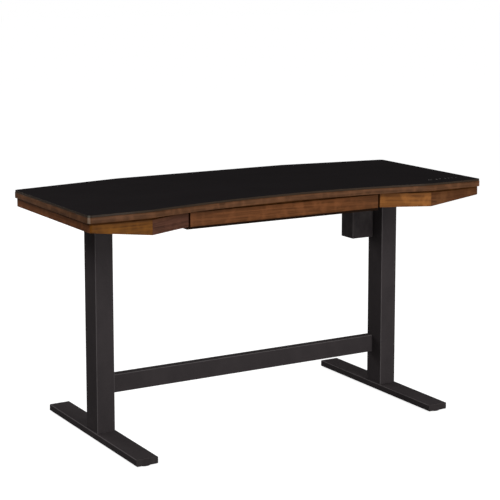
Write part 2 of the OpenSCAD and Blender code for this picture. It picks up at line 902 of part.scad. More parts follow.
// Gearbox that stands up into the crossbar round the drive shaft, on a plate that closes the cover
module motor_gearbox() {
    side = crossbar_w / 2 - crossbar_wall - seat_gap;
    plate_in = cover_wall + fit_clear;
    worm_room = motor_worm_l / 2 + gearbox_room;
    color(zinc) difference() {
        union() {
            block([motor_x - gearbox_half, shaft_y - side, crossbar_z],
                [motor_x + gearbox_half, shaft_y + side, panel_z - gearbox_drop]);
            block([motor_x - cover_w / 2 + plate_in, cover_front + plate_in,
                    crossbar_z - motor_plate_t],
                [motor_x + cover_w / 2 - plate_in, cover_front + cover_d - plate_in, crossbar_z]);
        }
        translate([motor_x, shaft_y, shaft_z]) {
            rod_x(motor_wheel_r + gearbox_room, -motor_wheel_w / 2 - gearbox_room,
                motor_wheel_w + 2 * gearbox_room);
            rod_x(hex_r + journal_gap, -gearbox_half - lap, 2 * (gearbox_half + lap));
        }
        translate([motor_x, motor_y, 0]) {
            translate([0, 0, shaft_z - worm_room])
                cylinder(r = motor_worm_r + gearbox_room, h = 2 * worm_room);
            translate([0, 0, crossbar_z - motor_plate_t - lap])
                cylinder(r = motor_shaft_r + run, h = crossbar_h);
        }
    }
}

// The motor's output worm, on a short upright shaft
module motor_worm() {
    color("goldenrod") translate([motor_x, motor_y, 0]) {
        translate([0, 0, crossbar_z - motor_plate_t + seat_gap])
            cylinder(r = motor_shaft_r, h = crossbar_h - gearbox_drop);
        translate([0, 0, shaft_z - motor_worm_l / 2])
            cylinder(r = motor_worm_r - mesh_gap, h = motor_worm_l);
    }
}

// Plastic box round the motor, open at the top
module motor_cover() {
    color("#343233") translate([motor_x, cover_front + cover_d / 2, crossbar_z - cover_h])
        difference() {
            linear_extrude(cover_h) rounded(cover_w, cover_d, cover_r);
            translate([0, 0, cover_wall]) linear_extrude(cover_h)
                rounded(cover_w - 2 * cover_wall, cover_d - 2 * cover_wall, cover_r - cover_wall);
        }
}

// Control box, inlet, leads and touch panel

module control_box() {
    color(black) difference() {
        block([control_x, control_front, control_z],
            [control_x + control_w, control_back, panel_z]);
        block([control_x + control_wall, control_front + control_wall, control_z + control_wall],
            [control_x + control_w - control_wall, control_back - control_wall, panel_z + lap]);
        block([inlet_x - inlet_size[0] / 2, control_back - control_wall - lap,
                inlet_z - inlet_size[2] / 2],
            [inlet_x + inlet_size[0] / 2, control_back + lap, inlet_z + inlet_size[2] / 2]);
        translate([motor_lead_x, control_back - control_wall - lap, motor_lead_z])
            rotate([-90, 0, 0])
                cylinder(r = motor_lead_r + hole_clear, h = control_wall + 2 * lap);
        translate([lead_x, control_front - lap, lead_z]) rotate([-90, 0, 0])
            cylinder(r = lead_r + hole_clear, h = control_wall + 2 * lap);
    }
}

// Three-pin mains inlet in the back of the control box
module power_inlet() {
    w = inlet_size[0] / 2;
    h = inlet_size[2] / 2;
    color(black) translate([inlet_x, control_back, inlet_z]) {
        difference() {
            union() {
                block([-w, -inlet_size[1], -h], [w, inlet_rim, h]);
                block([-w - inlet_rim, 0, -h - inlet_rim],
                    [w + inlet_rim, inlet_rim, h + inlet_rim]);
            }
            block([-w + inlet_wall, -inlet_depth, -h + inlet_wall],
                [w - inlet_wall, inlet_rim + lap, h - inlet_wall]);
        }
        for (p = pin_places)
            block([p[0] - pin_size[0] / 2, -inlet_depth - lap, p[1] - pin_size[2] / 2],
                [p[0] + pin_size[0] / 2, -inlet_depth + pin_size[1], p[1] + pin_size[2] / 2]);
    }
}

// Straight stretch of a round lead from a to b, drawn in by in_a and in_b at its ends
module lead(a, b, r, in_a = 0, in_b = 0) {
    u = heading(a, b);
    translate(a + u * in_a) rotate([0, acos(u[2]), atan2(u[1], u[0])])
        cylinder(r = r, h = norm(b - a) - in_a - in_b);
}

// Quarter turn of a round lead at the corner b between a and c
module bend(a, b, c, r, bend_r) {
    u = heading(a, b);
    v = heading(b, c);
    centre = b + (v - u) * bend_r;
    axis = -cross(v, u);
    multmatrix([[-v[0], u[0], axis[0], centre[0]], [-v[1], u[1], axis[1], centre[1]],
        [-v[2], u[2], axis[2], centre[2]], [0, 0, 0, 1]])
        rotate_extrude(angle = 90) translate([bend_r, 0]) circle(r);
}

// Leads that the desk holds all the way: touch panel to control box, motor to control box
module leads() {
    route = [[touch_lead_x, touch_y, touch_z - fit_clear], [touch_lead_x, touch_y, lead_z],
        [touch_lead_x, lead_y, lead_z], [lead_x, lead_y, lead_z],
        [lead_x, control_front + control_wall + lead_tail, lead_z]];
    last = len(route) - 2;
    color(black) {
        for (i = [0:last])
            lead(route[i], route[i + 1], lead_r, i > 0 ? lead_bend : 0, i < last ? lead_bend : 0);
        for (i = [1:last]) bend(route[i - 1], route[i], route[i + 1], lead_r, lead_bend);
        lead([motor_lead_x, control_back - control_wall - lead_tail, motor_lead_z],
            [motor_lead_x, shaft_y - crossbar_w / 2 + crossbar_wall + seat_gap, motor_lead_z],
            motor_lead_r);
    }
}

// Saddle clip under the panel, with the lead running through it along X
module lead_clip() {
    difference() {
        translate([0, 0, -clip_size[2] / 2]) cube(clip_size, center = true);
        translate([0, 0, -lead_bend])
            rod_x(lead_r + hole_clear, -clip_size[0], 2 * clip_size[0]);
    }
}

module lead_clips() {
    color(black) translate([0, 0, panel_z]) {
        translate([touch_lead_x - clip_gap, lead_y, 0]) lead_clip();
        translate([lead_x + clip_gap, lead_y, 0]) lead_clip();
        translate([lead_x, (lead_y + control_front) / 2, 0]) rotate([0, 0, 90]) lead_clip();
    }
}

// Touch panel in its pocket, against the underside of the glass
module touch_panel() {
    color(black) block([touch_x - touch_w / 2, touch_y - touch_d / 2, touch_z],
        [touch_x + touch_w / 2, touch_y + touch_d / 2, glass_z]);
}

// Top

module desktop_panel() {
    pocket_x = touch_w / 2 + fit_clear;
    pocket_y = touch_d / 2 + fit_clear;
    color(walnut) difference() {
        translate([0, 0, panel_z]) linear_extrude(panel_t) polygon(top_outline(band_t));
        block([touch_x - pocket_x, touch_y - pocket_y, touch_z - fit_clear],
            [touch_x + pocket_x, touch_y + pocket_y, glass_z + lap]);
        translate([touch_lead_x, touch_y, panel_z - lap])
            cylinder(r = lead_r + hole_clear, h = panel_t);
        both_sides() for (y = arm_screw_y) translate([column_x, y, panel_z - lap])
            cylinder(r = screw_r + hole_clear, h = screw_l);
    }
}

module edge_band() {
    color(walnut) translate([0, 0, panel_z]) linear_extrude(panel_t) difference() {
        polygon(top_outline(0));
        polygon(top_outline(band_t));
    }
}

module glass_top() {
    color("#1f1c1d") translate([0, 0, glass_z]) linear_extrude(glass_t)
        polygon(top_outline(glass_inset));
}

// Aprons

module side_apron() {
    apron_board(concat(from_mitre(front_round), to_mitre(back_round), [back_in, corner_in]),
        apron_h);
}

module left_side_apron() {
    color(walnut) mirror([1, 0, 0]) side_apron();
}

module right_side_apron() {
    color(walnut) side_apron();
}

module back_apron() {
    color(walnut) apron_board([apron_flat, apron_flat_left, [-flat_in[0], flat_in[1]], flat_in],
        apron_h);
}

module back_wings() {
    color(walnut) both_sides()
        apron_board(concat(from_mitre(back_round), [apron_flat, flat_in, back_in]), apron_h);
}

// Front board from the knee to the corner, whose lower edge rises towards the corner
module outer_facet() {
    past = 40;
    mitre_x = front_round[mitre][0];
    rise = (knee_h - apron_h) / (mitre_x - apron_knee[0]);
    profile = [[apron_knee[0] - past, -knee_h], [apron_knee[0], -knee_h],
        [mitre_x + past, -apron_h + past * rise], [mitre_x + past, lap],
        [apron_knee[0] - past, lap]];
    intersection() {
        apron_board(concat([apron_knee], to_mitre(front_round), [corner_in, knee_in]), knee_h);
        translate([0, 0, panel_z]) rotate([90, 0, 0])
            linear_extrude(2 * front_y, center = true) polygon(profile);
    }
}

module left_outer_facet() {
    color(walnut) mirror([1, 0, 0]) outer_facet();
}

module right_outer_facet() {
    color(walnut) outer_facet();
}

module inner_facet() {
    apron_board([apron_end, apron_knee, knee_in, end_in], knee_h);
}

module left_inner_facet() {
    color(walnut) mirror([1, 0, 0]) inner_facet();
}

module right_inner_facet() {
    color(walnut) inner_facet();
}

// Glue block in the corner at p between the boards that run towards a and b
module corner_block(p, a, b) {
    u = heading(p, a) * block_l;
    v = heading(p, b) * block_l;
    apron_board([p, p + u, p + u + v, p + v], apron_h - block_short);
}

module corner_blocks() {
    color("#8a6a48") both_sides() {
        corner_block(corner_in, knee_in, back_in);
        corner_block(back_in, corner_in, flat_in);
    }
}

// Drawer housing, runners and drawer

module housing_bottom() {
    color(black) block([-housing_out, tray_front, tray_top - tray_t],
        [housing_out, housing_back, tray_top]);
}

module housing_sides() {
    color(black) both_sides() block([housing_in, housing_front, tray_top],
        [housing_out, housing_back, panel_z]);
}

// One member of a runner: a channel whose web lies at x and whose lips reach towards tip
module runner_member(x, tip, h) {
    s = sign(tip - x);
    web = [x, x + s * runner_steel];
    z = runner_mid;
    block([min(web), runner_front, z - h / 2], [max(web), runner_back, z + h / 2]);
    for (lip = [z - h / 2, z + h / 2 - runner_steel])
        block([min(x, tip), runner_front, lip], [max(x, tip), runner_back, lip + runner_steel]);
}

module fixed_runners() {
    color(zinc) both_sides()
        runner_member(housing_in, runner_lip, runner_h);
}

module middle_runners() {
    color(zinc) both_sides()
        runner_member(housing_in - runner_steel - runner_gap, runner_lip,
            runner_h - 2 * (runner_steel + runner_gap));
}

module drawer_runners() {
    color(zinc) both_sides()
        runner_member(box_half, housing_in - 2 * (runner_steel + runner_gap) - runner_gap,
            runner_h - 4 * (runner_steel + runner_gap));
}

module drawer_front() {
    color(walnut) block([-drawer_w / 2, -drawer_y, front_z],
        [drawer_w / 2, front_back_y, front_z + drawer_h]);
}

module drawer_side() {
    block([box_in, front_back_y, box_z], [box_half, box_back, box_top]);
}

module drawer_left_side() {
    color("#b99a6b") mirror([1, 0, 0]) drawer_side();
}

module drawer_right_side() {
    color("#b99a6b") drawer_side();
}

module drawer_back() {
    color("#b99a6b") block([-box_in, box_back - drawer_side_t, box_z + drawer_bottom_t],
        [box_in, box_back, box_top]);
}

module drawer_bottom() {
    color("#a88c63") block([-box_in, front_back_y, box_z],
        [box_in, box_back, box_z + drawer_bottom_t]);
}

left_foot();
right_foot();
foot_end_caps();
left_outer_column();
right_outer_column();
column_collars();
stretcher();
base_bolts();
nut_posts();
spindle_nuts();
front_left_glide();
front_right_glide();
rear_left_glide();
rear_right_glide();
left_inner_column();
right_inner_column();
column_slide_pads();
left_gear_housing();
right_gear_housing();
spindle_bearings();
left_arm();
right_arm();
crossbar();
arm_screws();
frame_bolts();
motor_can();
motor_gearbox();
motor_cover();
control_box();
power_inlet();
leads();
lead_clips();
touch_panel();
desktop_panel();
edge_band();
glass_top();
left_side_apron();
right_side_apron();
back_apron();
back_wings();
left_outer_facet();
right_outer_facet();
left_inner_facet();
right_inner_facet();
corner_blocks();
housing_bottom();
housing_sides();
fixed_runners();
middle_runners();
drawer_runners();
drawer_front();
drawer_left_side();
drawer_right_side();
drawer_back();
drawer_bottom();
left_spindle();
right_spindle();
drive_shaft();
shaft_worms();
motor_worm();
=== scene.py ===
import json
import math

import bmesh
import bpy
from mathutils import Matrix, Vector
from mathutils.geometry import tessellate_polygon

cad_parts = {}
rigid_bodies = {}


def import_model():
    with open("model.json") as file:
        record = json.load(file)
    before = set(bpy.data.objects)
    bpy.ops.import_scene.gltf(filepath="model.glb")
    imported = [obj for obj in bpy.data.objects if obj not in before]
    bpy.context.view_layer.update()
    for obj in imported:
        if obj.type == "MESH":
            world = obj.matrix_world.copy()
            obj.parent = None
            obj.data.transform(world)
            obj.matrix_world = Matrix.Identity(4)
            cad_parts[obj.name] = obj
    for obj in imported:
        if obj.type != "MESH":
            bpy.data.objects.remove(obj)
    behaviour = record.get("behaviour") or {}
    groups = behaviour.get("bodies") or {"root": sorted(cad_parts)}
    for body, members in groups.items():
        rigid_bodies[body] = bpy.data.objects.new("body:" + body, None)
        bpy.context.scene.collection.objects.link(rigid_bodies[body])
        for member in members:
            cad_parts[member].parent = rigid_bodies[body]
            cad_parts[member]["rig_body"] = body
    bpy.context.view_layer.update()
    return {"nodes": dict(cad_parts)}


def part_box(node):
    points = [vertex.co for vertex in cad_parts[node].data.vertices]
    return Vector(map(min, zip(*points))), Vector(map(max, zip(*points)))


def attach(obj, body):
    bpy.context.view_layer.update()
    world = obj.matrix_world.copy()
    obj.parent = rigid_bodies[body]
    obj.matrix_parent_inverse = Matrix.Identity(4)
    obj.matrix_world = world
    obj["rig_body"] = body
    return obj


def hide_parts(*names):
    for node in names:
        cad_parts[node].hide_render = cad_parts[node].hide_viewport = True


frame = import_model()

MM = 0.001
MERGE = 0.01 * MM
FLAT = math.radians(0.5)
SHARP = math.radians(30)

# Camera
# A long lens a little above the top, turned to the right of +Y and tipped down, and shifted down
# so that the uprights stay nearly upright, as in the photograph. It sees 500 by 500.
PICTURE = 500
SENSOR = 36.0
FOCAL_PIXELS = 1492.57
CENTRE_ROW = 165
EYE = (-2.39460, -4.07003, 1.46068)
TURN = math.radians(30.5358)
DIP = math.radians(7.8458)
SIGHT = 100.0

camera = bpy.data.objects.new("camera", bpy.data.cameras.new("camera"))
bpy.context.collection.objects.link(camera)
camera.location = EYE
camera.rotation_euler = (math.pi / 2 - DIP, 0.0, -TURN)
camera.data.sensor_width = SENSOR
camera.data.lens = FOCAL_PIXELS / PICTURE * SENSOR
camera.data.shift_y = (CENTRE_ROW - PICTURE / 2) / PICTURE
camera.data.clip_end = SIGHT
bpy.context.scene.camera = camera
bpy.context.scene.view_settings.view_transform = "Standard"


# Nodes of materials and of Geometry Nodes

def srgb(code):
    """Linear colour of a code such as #6b4023."""
    parts = [int(code[i:i + 2], 16) / 255 for i in (1, 3, 5)]
    red, green, blue = (c / 12.92 if c <= 0.04045 else ((c + 0.055) / 1.055) ** 2.4
        for c in parts)
    return red, green, blue, 1.0


def add(tree, kind, inputs=None, **settings):
    """Add a node, set it, and give its inputs values or links."""
    node = tree.nodes.new(kind)
    for key, value in settings.items():
        setattr(node, key, value)
    for key, value in (inputs or {}).items():
        if isinstance(value, bpy.types.NodeSocket):
            tree.links.new(value, node.inputs[key])
        else:
            node.inputs[key].default_value = value
    return node


# Building up a finish
# A pattern is its size in mm along three axes, the noise at which it starts and is full, and then
# its detail and bend. Rounded edges face the main directions less than EDGE_STARTS. The centre of
# each rounded front corner lies CORNER_CENTRE out, its distances along X and Y added up.
SURFACE = "Principled BSDF"
NOISE_ROUGHNESS = 0.55
EDGE_STARTS = 0.99
EDGE_FULL = 0.85
CORNER_CENTRE = 980 * MM
# Where the painted corner glints start, and how strong they get at most.
GLINT_STARTS = 0.9
GLINT_MOST = 0.8
# The dark brown of painted shade.
PAINTED_SHADE_TONE = "#3a210d"


def finish(name, constants):
    """Start a finish with its constants on the surface shader's sockets; give paint and tree."""
    paint = bpy.data.materials.new(name)
    paint.use_nodes = True
    tree = paint.node_tree
    tree.nodes.clear()
    surface = add(tree, "ShaderNodeBsdfPrincipled", constants, name=SURFACE)
    add(tree, "ShaderNodeOutputMaterial", {"Surface": surface.outputs["BSDF"]})
    return paint, tree


def spots(tree, place, size, low, high, detail=2.0, bend=0.0, turn=0.0, start=(0.0, 0.0, 0.0)):
    """Soft random spots: 0 where the noise is below low, 1 where it is above high."""
    spread = add(tree, "ShaderNodeMapping", {"Vector": place, "Location": start,
        "Rotation": (0.0, 0.0, turn), "Scale": [s * MM for s in size]}, vector_type="TEXTURE")
    noise = add(tree, "ShaderNodeTexNoise", {"Vector": spread.outputs["Vector"], "Scale": 1.0,
        "Detail": detail, "Roughness": NOISE_ROUGHNESS, "Distortion": bend})
    return add(tree, "ShaderNodeMapRange", {"Value": noise.outputs["Fac"], "From Min": low,
        "From Max": high}).outputs["Result"]


def layered(tree, colour, *layers):
    """The colour under layers laid on it in turn: where each shows, how much at most, its tone."""
    for where, most, tone in layers:
        if most < 1:
            where = add(tree, "ShaderNodeMapRange", {"Value": where,
                "To Max": most}).outputs["Result"]
        colour = add(tree, "ShaderNodeMix", {0: where, 6: colour, 7: srgb(tone)},
            data_type="RGBA").outputs[2]
    return colour


def dressed(tree, colour, gloss=None, roughness=None, relief=None, depth=0.0, strength=1.0):
    """Give the surface its colour, a roughness that goes with gloss, and relief of depth in mm."""
    surface = tree.nodes[SURFACE].inputs
    tree.links.new(colour, surface["Base Color"])
    if roughness:
        rough = add(tree, "ShaderNodeMapRange", {"Value": gloss, "To Min": roughness[0],
            "To Max": roughness[1]})
        tree.links.new(rough.outputs["Result"], surface["Roughness"])
    if depth:
        bump = add(tree, "ShaderNodeBump", {"Height": relief, "Distance": depth * MM,
            "Strength": strength})
        tree.links.new(bump.outputs["Normal"], surface["Normal"])


def overlaid(tree, where, tone):
    """Lay one more tone over the colour that the surface has."""
    base = tree.nodes[SURFACE].inputs["Base Color"]
    tree.links.new(layered(tree, base.links[0].from_socket, (where, 1, tone)), base)


def painted_shade_along(tree, axis, foot, top, most, tone=PAINTED_SHADE_TONE):
    """Paint shade along an axis: a dark tone from nothing at the foot to most at the top."""
    place = add(tree, "ShaderNodeTexCoord").outputs["Object"]
    level = add(tree, "ShaderNodeSeparateXYZ", {0: place}).outputs[axis]
    shade = add(tree, "ShaderNodeMapRange", {"Value": level, "From Min": foot, "From Max": top,
        "To Max": most})
    overlaid(tree, shade.outputs["Result"], tone)


def painted_edge_highlights(tree, tone, most):
    """Lay a pale painted highlight on rounded edges, where the surface faces no main direction."""
    normal = add(tree, "ShaderNodeTexCoord").outputs["Normal"]
    facing = add(tree, "ShaderNodeVectorMath", {0: normal}, operation="ABSOLUTE")
    parts = add(tree, "ShaderNodeSeparateXYZ", {0: facing.outputs["Vector"]}).outputs
    level = add(tree, "ShaderNodeMath", {0: parts["X"], 1: parts["Y"]}, operation="MAXIMUM")
    straight = add(tree, "ShaderNodeMath", {0: level.outputs[0], 1: parts["Z"]},
        operation="MAXIMUM")
    edge = add(tree, "ShaderNodeMapRange", {"Value": straight.outputs[0],
        "From Min": EDGE_STARTS, "From Max": EDGE_FULL, "To Max": most})
    overlaid(tree, edge.outputs["Result"], tone)


def painted_corner_glint(tree, radius, tone):
    """Lay a painted highlight, a pale glint, on the top's rounded front corners.

    The corners at the back don't reach so far out.
    """
    place = add(tree, "ShaderNodeTexCoord").outputs["Object"]
    size = add(tree, "ShaderNodeVectorMath", {0: place}, operation="ABSOLUTE").outputs["Vector"]
    reach = add(tree, "ShaderNodeVectorMath", {0: size, 1: (1.0, 1.0, 0.0)},
        operation="DOT_PRODUCT").outputs["Value"]
    rounds = math.sqrt(2) * radius
    glint = add(tree, "ShaderNodeMapRange", {"Value": reach,
        "From Min": CORNER_CENTRE + GLINT_STARTS * rounds, "From Max": CORNER_CENTRE + rounds,
        "To Max": GLINT_MOST})
    overlaid(tree, glint.outputs["Result"], tone)


def clouded(name, constants, tones, cloud, sparks=None, roughness=None, depth=0.0, strength=1.0):
    """A finish of two tones in clouds; gloss and relief follow its sparks, or else the clouds."""
    paint, tree = finish(name, constants)
    place = add(tree, "ShaderNodeTexCoord").outputs["Object"]
    tint = spots(tree, place, *cloud)
    skin = spots(tree, place, *sparks) if sparks else tint
    colour = layered(tree, srgb(tones[0]), (tint, 1, tones[1]))
    dressed(tree, colour, skin, roughness, skin, depth, strength)
    return paint


# Wood finishes
# Real pores are 0.2 mm wide; they are drawn about 0.9 mm wide so that they show.
STREAKS = ((190, 9, 5), 0.38, 0.66, 5.0, 0.7)
BLOCKS = ((36, 80, 46), 0.47, 0.64, 1.5, 0.2)
THREADS = ((70, 3, 2.4), 0.35, 0.70, 3.0, 0.3)
PORES = ((9, 0.9, 0.9), 0.60, 0.70, 1.0)
LACQUER = {"IOR": 1.5, "Specular IOR Level": 0.0, "Coat Weight": 0.04, "Coat Roughness": 0.3}


def walnut_grain(tree, place, tones, turn=0.0, start=(0.0, 0.0, 0.0)):
    """Long dark streaks, orange figure in short blocks across the grain, and fine pores."""
    dark, plain, figured = tones
    streaks, blocks, threads, pores = (spots(tree, place, *pattern, turn=turn, start=start)
        for pattern in (STREAKS, BLOCKS, THREADS, PORES))
    colour = layered(tree, srgb(plain), (streaks, 1, dark), (blocks, 0.62, figured),
        (threads, 0.38, dark), (pores, 0.45, dark))
    wood = add(tree, "ShaderNodeMapRange", {"Value": pores, "To Min": 1.0, "To Max": 0.0})
    dressed(tree, colour, streaks, (0.36, 0.46), wood.outputs["Result"], 0.06, 0.5)


# Walnut-stained veneer under satin lacquer: warm brown with orange figure, a soft sheen and no
# mirror image. Painted shade darkens each board towards the rebate under the panel. Each row has
# the board, the degrees that its grain runs left of +X, where in the log it was cut, and its dark,
# plain and figured tones.
DRAWER_TONES = ("#4e2f1a", "#6d4327", "#7d4d2e")
SHADE = (709 * MM, 725 * MM, 0.55)
walnut = {}
# The tones differ partly as real boards do and partly as painted light and shade for the way each
# board faces the light: the left knee and side boards are darker and the right knee is lighter.
for board_name, turn, start, tones in (
        ("drawer_front", 0, (0.0, 0.0, 0.0), DRAWER_TONES),
        ("left_front", 0, (0.33, 0.0, 0.05), ("#4f2f0f", "#714517", "#85541d")),
        ("right_front", 0, (0.71, 0.0, 0.11), ("#432817", "#603d26", "#6f492d")),
        ("left_knee", 24, (0.2, 0.1, 0.02), ("#3c271e", "#56382c", "#644134")),
        ("right_knee", -24, (0.5, 0.3, 0.07), ("#603a1c", "#885628", "#9f6632")),
        ("sides", 90, (0.1, 0.6, 0.03), ("#4a2c19", "#694026", "#7b4b2e")),
        ("back", 0, (0.9, 0.2, 0.09), DRAWER_TONES),
        ("left_wing", 9, (0.4, 0.8, 0.01), DRAWER_TONES),
        ("right_wing", -9, (0.6, 0.5, 0.04), DRAWER_TONES)):
    walnut[board_name], tree = finish("walnut_veneer_" + board_name, LACQUER)
    place = add(tree, "ShaderNodeTexCoord").outputs["Object"]
    walnut_grain(tree, place, tones, math.radians(turn), start)
    # Painted shade along the rebate under the panel.
    painted_shade_along(tree, "Z", *SHADE)

# Painted shade on the drawer: a little greyer to the right, where the light falls off, and darker
# along its lower edge, where the rounding turns away from the light.
RIGHT_END_SHADE = (150 * MM, 330 * MM, 0.2, "#393129")
LOWER_EDGE_SHADE = (687 * MM, 677 * MM, 0.35)
drawer_tree = walnut["drawer_front"].node_tree
painted_shade_along(drawer_tree, "X", *RIGHT_END_SHADE)
painted_shade_along(drawer_tree, "Z", *LOWER_EDGE_SHADE)

# Solid walnut-stained edge band, bent round the panel: the grain follows the edge, with painted
# shade as a dark line under the glass.
BAND_TOP_SHADE = (743.0 * MM, 745.5 * MM, 0.6)
BAND_CORNER = 14 * MM
walnut_band, tree = finish("walnut_edge_band", LACQUER)
along = add(tree, "ShaderNodeAttribute", attribute_name="along").outputs["Fac"]
height = add(tree, "ShaderNodeSeparateXYZ",
    {0: add(tree, "ShaderNodeTexCoord").outputs["Object"]}).outputs["Z"]
place = add(tree, "ShaderNodeCombineXYZ", {0: along, 2: height}).outputs["Vector"]
walnut_grain(tree, place, ("#462f20", "#61422d", "#724d35"))
# Painted shade at the band's top, under the glass.
painted_shade_along(tree, "Z", *BAND_TOP_SHADE)
# Painted highlight: a pale glint on the band's front corners.
painted_corner_glint(tree, BAND_CORNER, "#8a7767")

# Painted shade in the rebate under the panel and on the board ends beside the drawer: nearly black
# brown, dull, with the wood's streaks.
painted_shade_finish, tree = finish("painted_shade_dark_wood", {"IOR": 1.5, "Specular IOR Level": 0.0})
place = add(tree, "ShaderNodeTexCoord").outputs["Object"]
walnut_grain(tree, place, (PAINTED_SHADE_TONE, "#4f2f15", "#5c381b"))

# Clear-lacquered poplar of the drawer box: pale with darker growth lines, which run this many
# degrees left of +X.
poplar = {}
for run, turn in (("wide", 0), ("deep", 90)):
    poplar[run], tree = finish("clear_lacquered_poplar_" + run, {"IOR": 1.5,
        "Specular IOR Level": 0.35, "Coat Weight": 0.1, "Coat Roughness": 0.25})
    place = add(tree, "ShaderNodeTexCoord").outputs["Object"]
    growth = spots(tree, place, (160, 7, 4), 0.35, 0.65, 4.0, 0.5, turn=math.radians(turn))
    hairs = spots(tree, place, (14, 1, 1), 0.5, 0.75, turn=math.radians(turn))
    colour = layered(tree, srgb("#cfae7e"), (growth, 1, "#b58f5e"), (hairs, 0.3, "#8f6b42"))
    dressed(tree, colour, growth, (0.38, 0.48), hairs, 0.03, 0.4)

# Black-lacquered board of the drawer housing: flat black with a trace of fibre.
black_lacquer = clouded("black_lacquered_board", {"IOR": 1.5, "Specular IOR Level": 0.0},
    ("#1c130d", "#271a12"), ((14, 2, 2), 0.35, 0.7, 3.0), roughness=(0.5, 0.62))

# Brown backer laminate under the panel: dull, with a fine mottle.
backer = clouded("brown_backer_laminate", {"IOR": 1.5, "Specular IOR Level": 0.25},
    ("#3f2c20", "#4d372a"), ((5, 5, 5), 0.35, 0.65, 4.0), roughness=(0.55, 0.68))

# Glass finishes
# Tempered glass, painted black behind: even near-black with hardly any image, because the
# photograph's soft light leaves none.
glass_face = clouded("back_painted_black_glass", {"IOR": 1.5, "Roughness": 0.16,
    "Specular IOR Level": 0.0, "Coat Weight": 0.01, "Coat Roughness": 0.28},
    ("#1b1819", "#1d1a1b"), ((160, 120, 50), 0.3, 0.7))

# Ground and polished glass edge: smoky brown, a little lighter than the face; partly the glass's
# own tint, partly a painted reflection of the light and of the band below.
GLASS_CORNER = 13 * MM
glass_edge = clouded("polished_glass_edge", {"IOR": 1.5, "Roughness": 0.22,
    "Specular IOR Level": 0.0, "Coat Weight": 0.05, "Coat Roughness": 0.2},
    ("#302720", "#382e25"), ((30, 30, 3), 0.35, 0.65))
# Painted highlight: a pale glint on the glass edge's front corners.
painted_corner_glint(glass_edge.node_tree, GLASS_CORNER, "#64625a")

# Silk-screened marks behind the glass: faint warm grey ink.
glass_marks = clouded("screen_printed_marks", {"IOR": 1.5, "Roughness": 0.3,
    "Specular IOR Level": 0.0, "Coat Weight": 0.01, "Coat Roughness": 0.28},
    ("#6f6d6c", "#7d7b7a"), ((2, 2, 2), 0.3, 0.7))

# Metal finishes
# Black powder coat on steel tube: fine sand texture, satin, with a painted highlight along the
# rounded corners. The texture's real grain is 0.4 mm; it is drawn 1.4 mm so that it shows.
powder_coat, tree = finish("black_powder_coat", {"IOR": 1.5, "Specular IOR Level": 0.0,
    "Coat Weight": 0.015, "Coat Roughness": 0.4})
place = add(tree, "ShaderNodeTexCoord").outputs["Object"]
sand = spots(tree, place, (1.4, 1.4, 1.4), 0.3, 0.7, 3.0)
drift = spots(tree, place, (60, 60, 90), 0.3, 0.7)
colour = layered(tree, srgb("#312d2e"), (sand, 1, "#3a3637"), (drift, 0.5, "#3f3a3b"))
dressed(tree, colour, sand, (0.44, 0.58), sand, 0.05, 0.35)
# Painted highlight along the rounded corners.
painted_edge_highlights(tree, "#6a6566", 0.6)

# Zinc-plated steel: pale grey metal with slight clouds and fine rolling lines.
zinc = clouded("zinc_plated_steel", {"Metallic": 1.0}, ("#a9adb0", "#c2c5c7"),
    ((9, 9, 9), 0.3, 0.7, 3.0), ((40, 0.8, 0.8), 0.35, 0.65), (0.28, 0.42))

# Die-cast aluminium: matt grey metal with a slight sandy skin.
cast_metal = clouded("die_cast_aluminium", {"Metallic": 1.0}, ("#8c8f93", "#a0a3a6"),
    ((1.6, 1.6, 1.6), 0.3, 0.7, 3.0), roughness=(0.5, 0.65), depth=0.08, strength=0.5)

# Turned gear brass: yellow metal with fine tool lines round it.
brass = clouded("turned_gear_brass", {"Metallic": 1.0}, ("#b18a3c", "#c9a356"),
    ((20, 0.7, 0.7), 0.35, 0.65), roughness=(0.25, 0.38))

# Plastic finishes
# Moulded black ABS: finer texture than the steel's, nearly the same black, with a painted highlight
# along rounded edges.
black_abs = clouded("moulded_black_abs", {"IOR": 1.53, "Specular IOR Level": 0.0,
    "Coat Weight": 0.03, "Coat Roughness": 0.35}, ("#2d292a", "#383434"),
    ((25, 25, 40), 0.3, 0.7), ((0.9, 0.9, 0.9), 0.35, 0.65), (0.4, 0.5), 0.02, 0.3)
# Painted highlight along the rounded edges.
painted_edge_highlights(black_abs.node_tree, "#504b4b", 0.6)

# Glass-filled nylon of the glides: dull black with a faint grey bloom.
black_nylon = clouded("black_glass_filled_nylon", {"IOR": 1.53, "Specular IOR Level": 0.0,
    "Coat Weight": 0.02, "Coat Roughness": 0.5}, ("#201f20", "#2c2b2c"),
    ((4, 4, 2), 0.35, 0.7, 3.0), roughness=(0.55, 0.7))

# Natural acetal of the spindle nuts: off-white, waxy.
acetal = clouded("natural_acetal", {"IOR": 1.48, "Specular IOR Level": 0.4},
    ("#dcd7c8", "#e8e4d8"), ((12, 12, 12), 0.3, 0.7), roughness=(0.35, 0.45))

# Black PVC jacket of the leads: smooth, with slight waves along it.
pvc = clouded("black_pvc_jacket", {"IOR": 1.53, "Specular IOR Level": 0.4},
    ("#1a1a1b", "#242425"), ((6, 6, 6), 0.3, 0.7), roughness=(0.35, 0.48))

# Floor and backdrop
# The floor is pale and clips to white; close under the feet it keeps a faint shadow. Only what
# the camera and mirror-like rays see is raised, so it lights nothing.
GLOW_NEAR = 0.88
GLOW_FAR = 0.965
GLOW_RISE = (1.2, 3.5)
AMBIENT = 0.1
FLOOR_HALF = 30.0
FLOOR_DROP = 0.2 * MM


def seen_directly(tree):
    """1 for rays of the camera, of mirror-like surfaces and through glass, 0 for the rest."""
    rays = add(tree, "ShaderNodeLightPath").outputs
    shine = add(tree, "ShaderNodeMath", {0: rays["Is Glossy Ray"],
        1: rays["Is Transmission Ray"]}, operation="MAXIMUM").outputs[0]
    return add(tree, "ShaderNodeMath", {0: rays["Is Camera Ray"], 1: shine},
        operation="MAXIMUM").outputs[0]


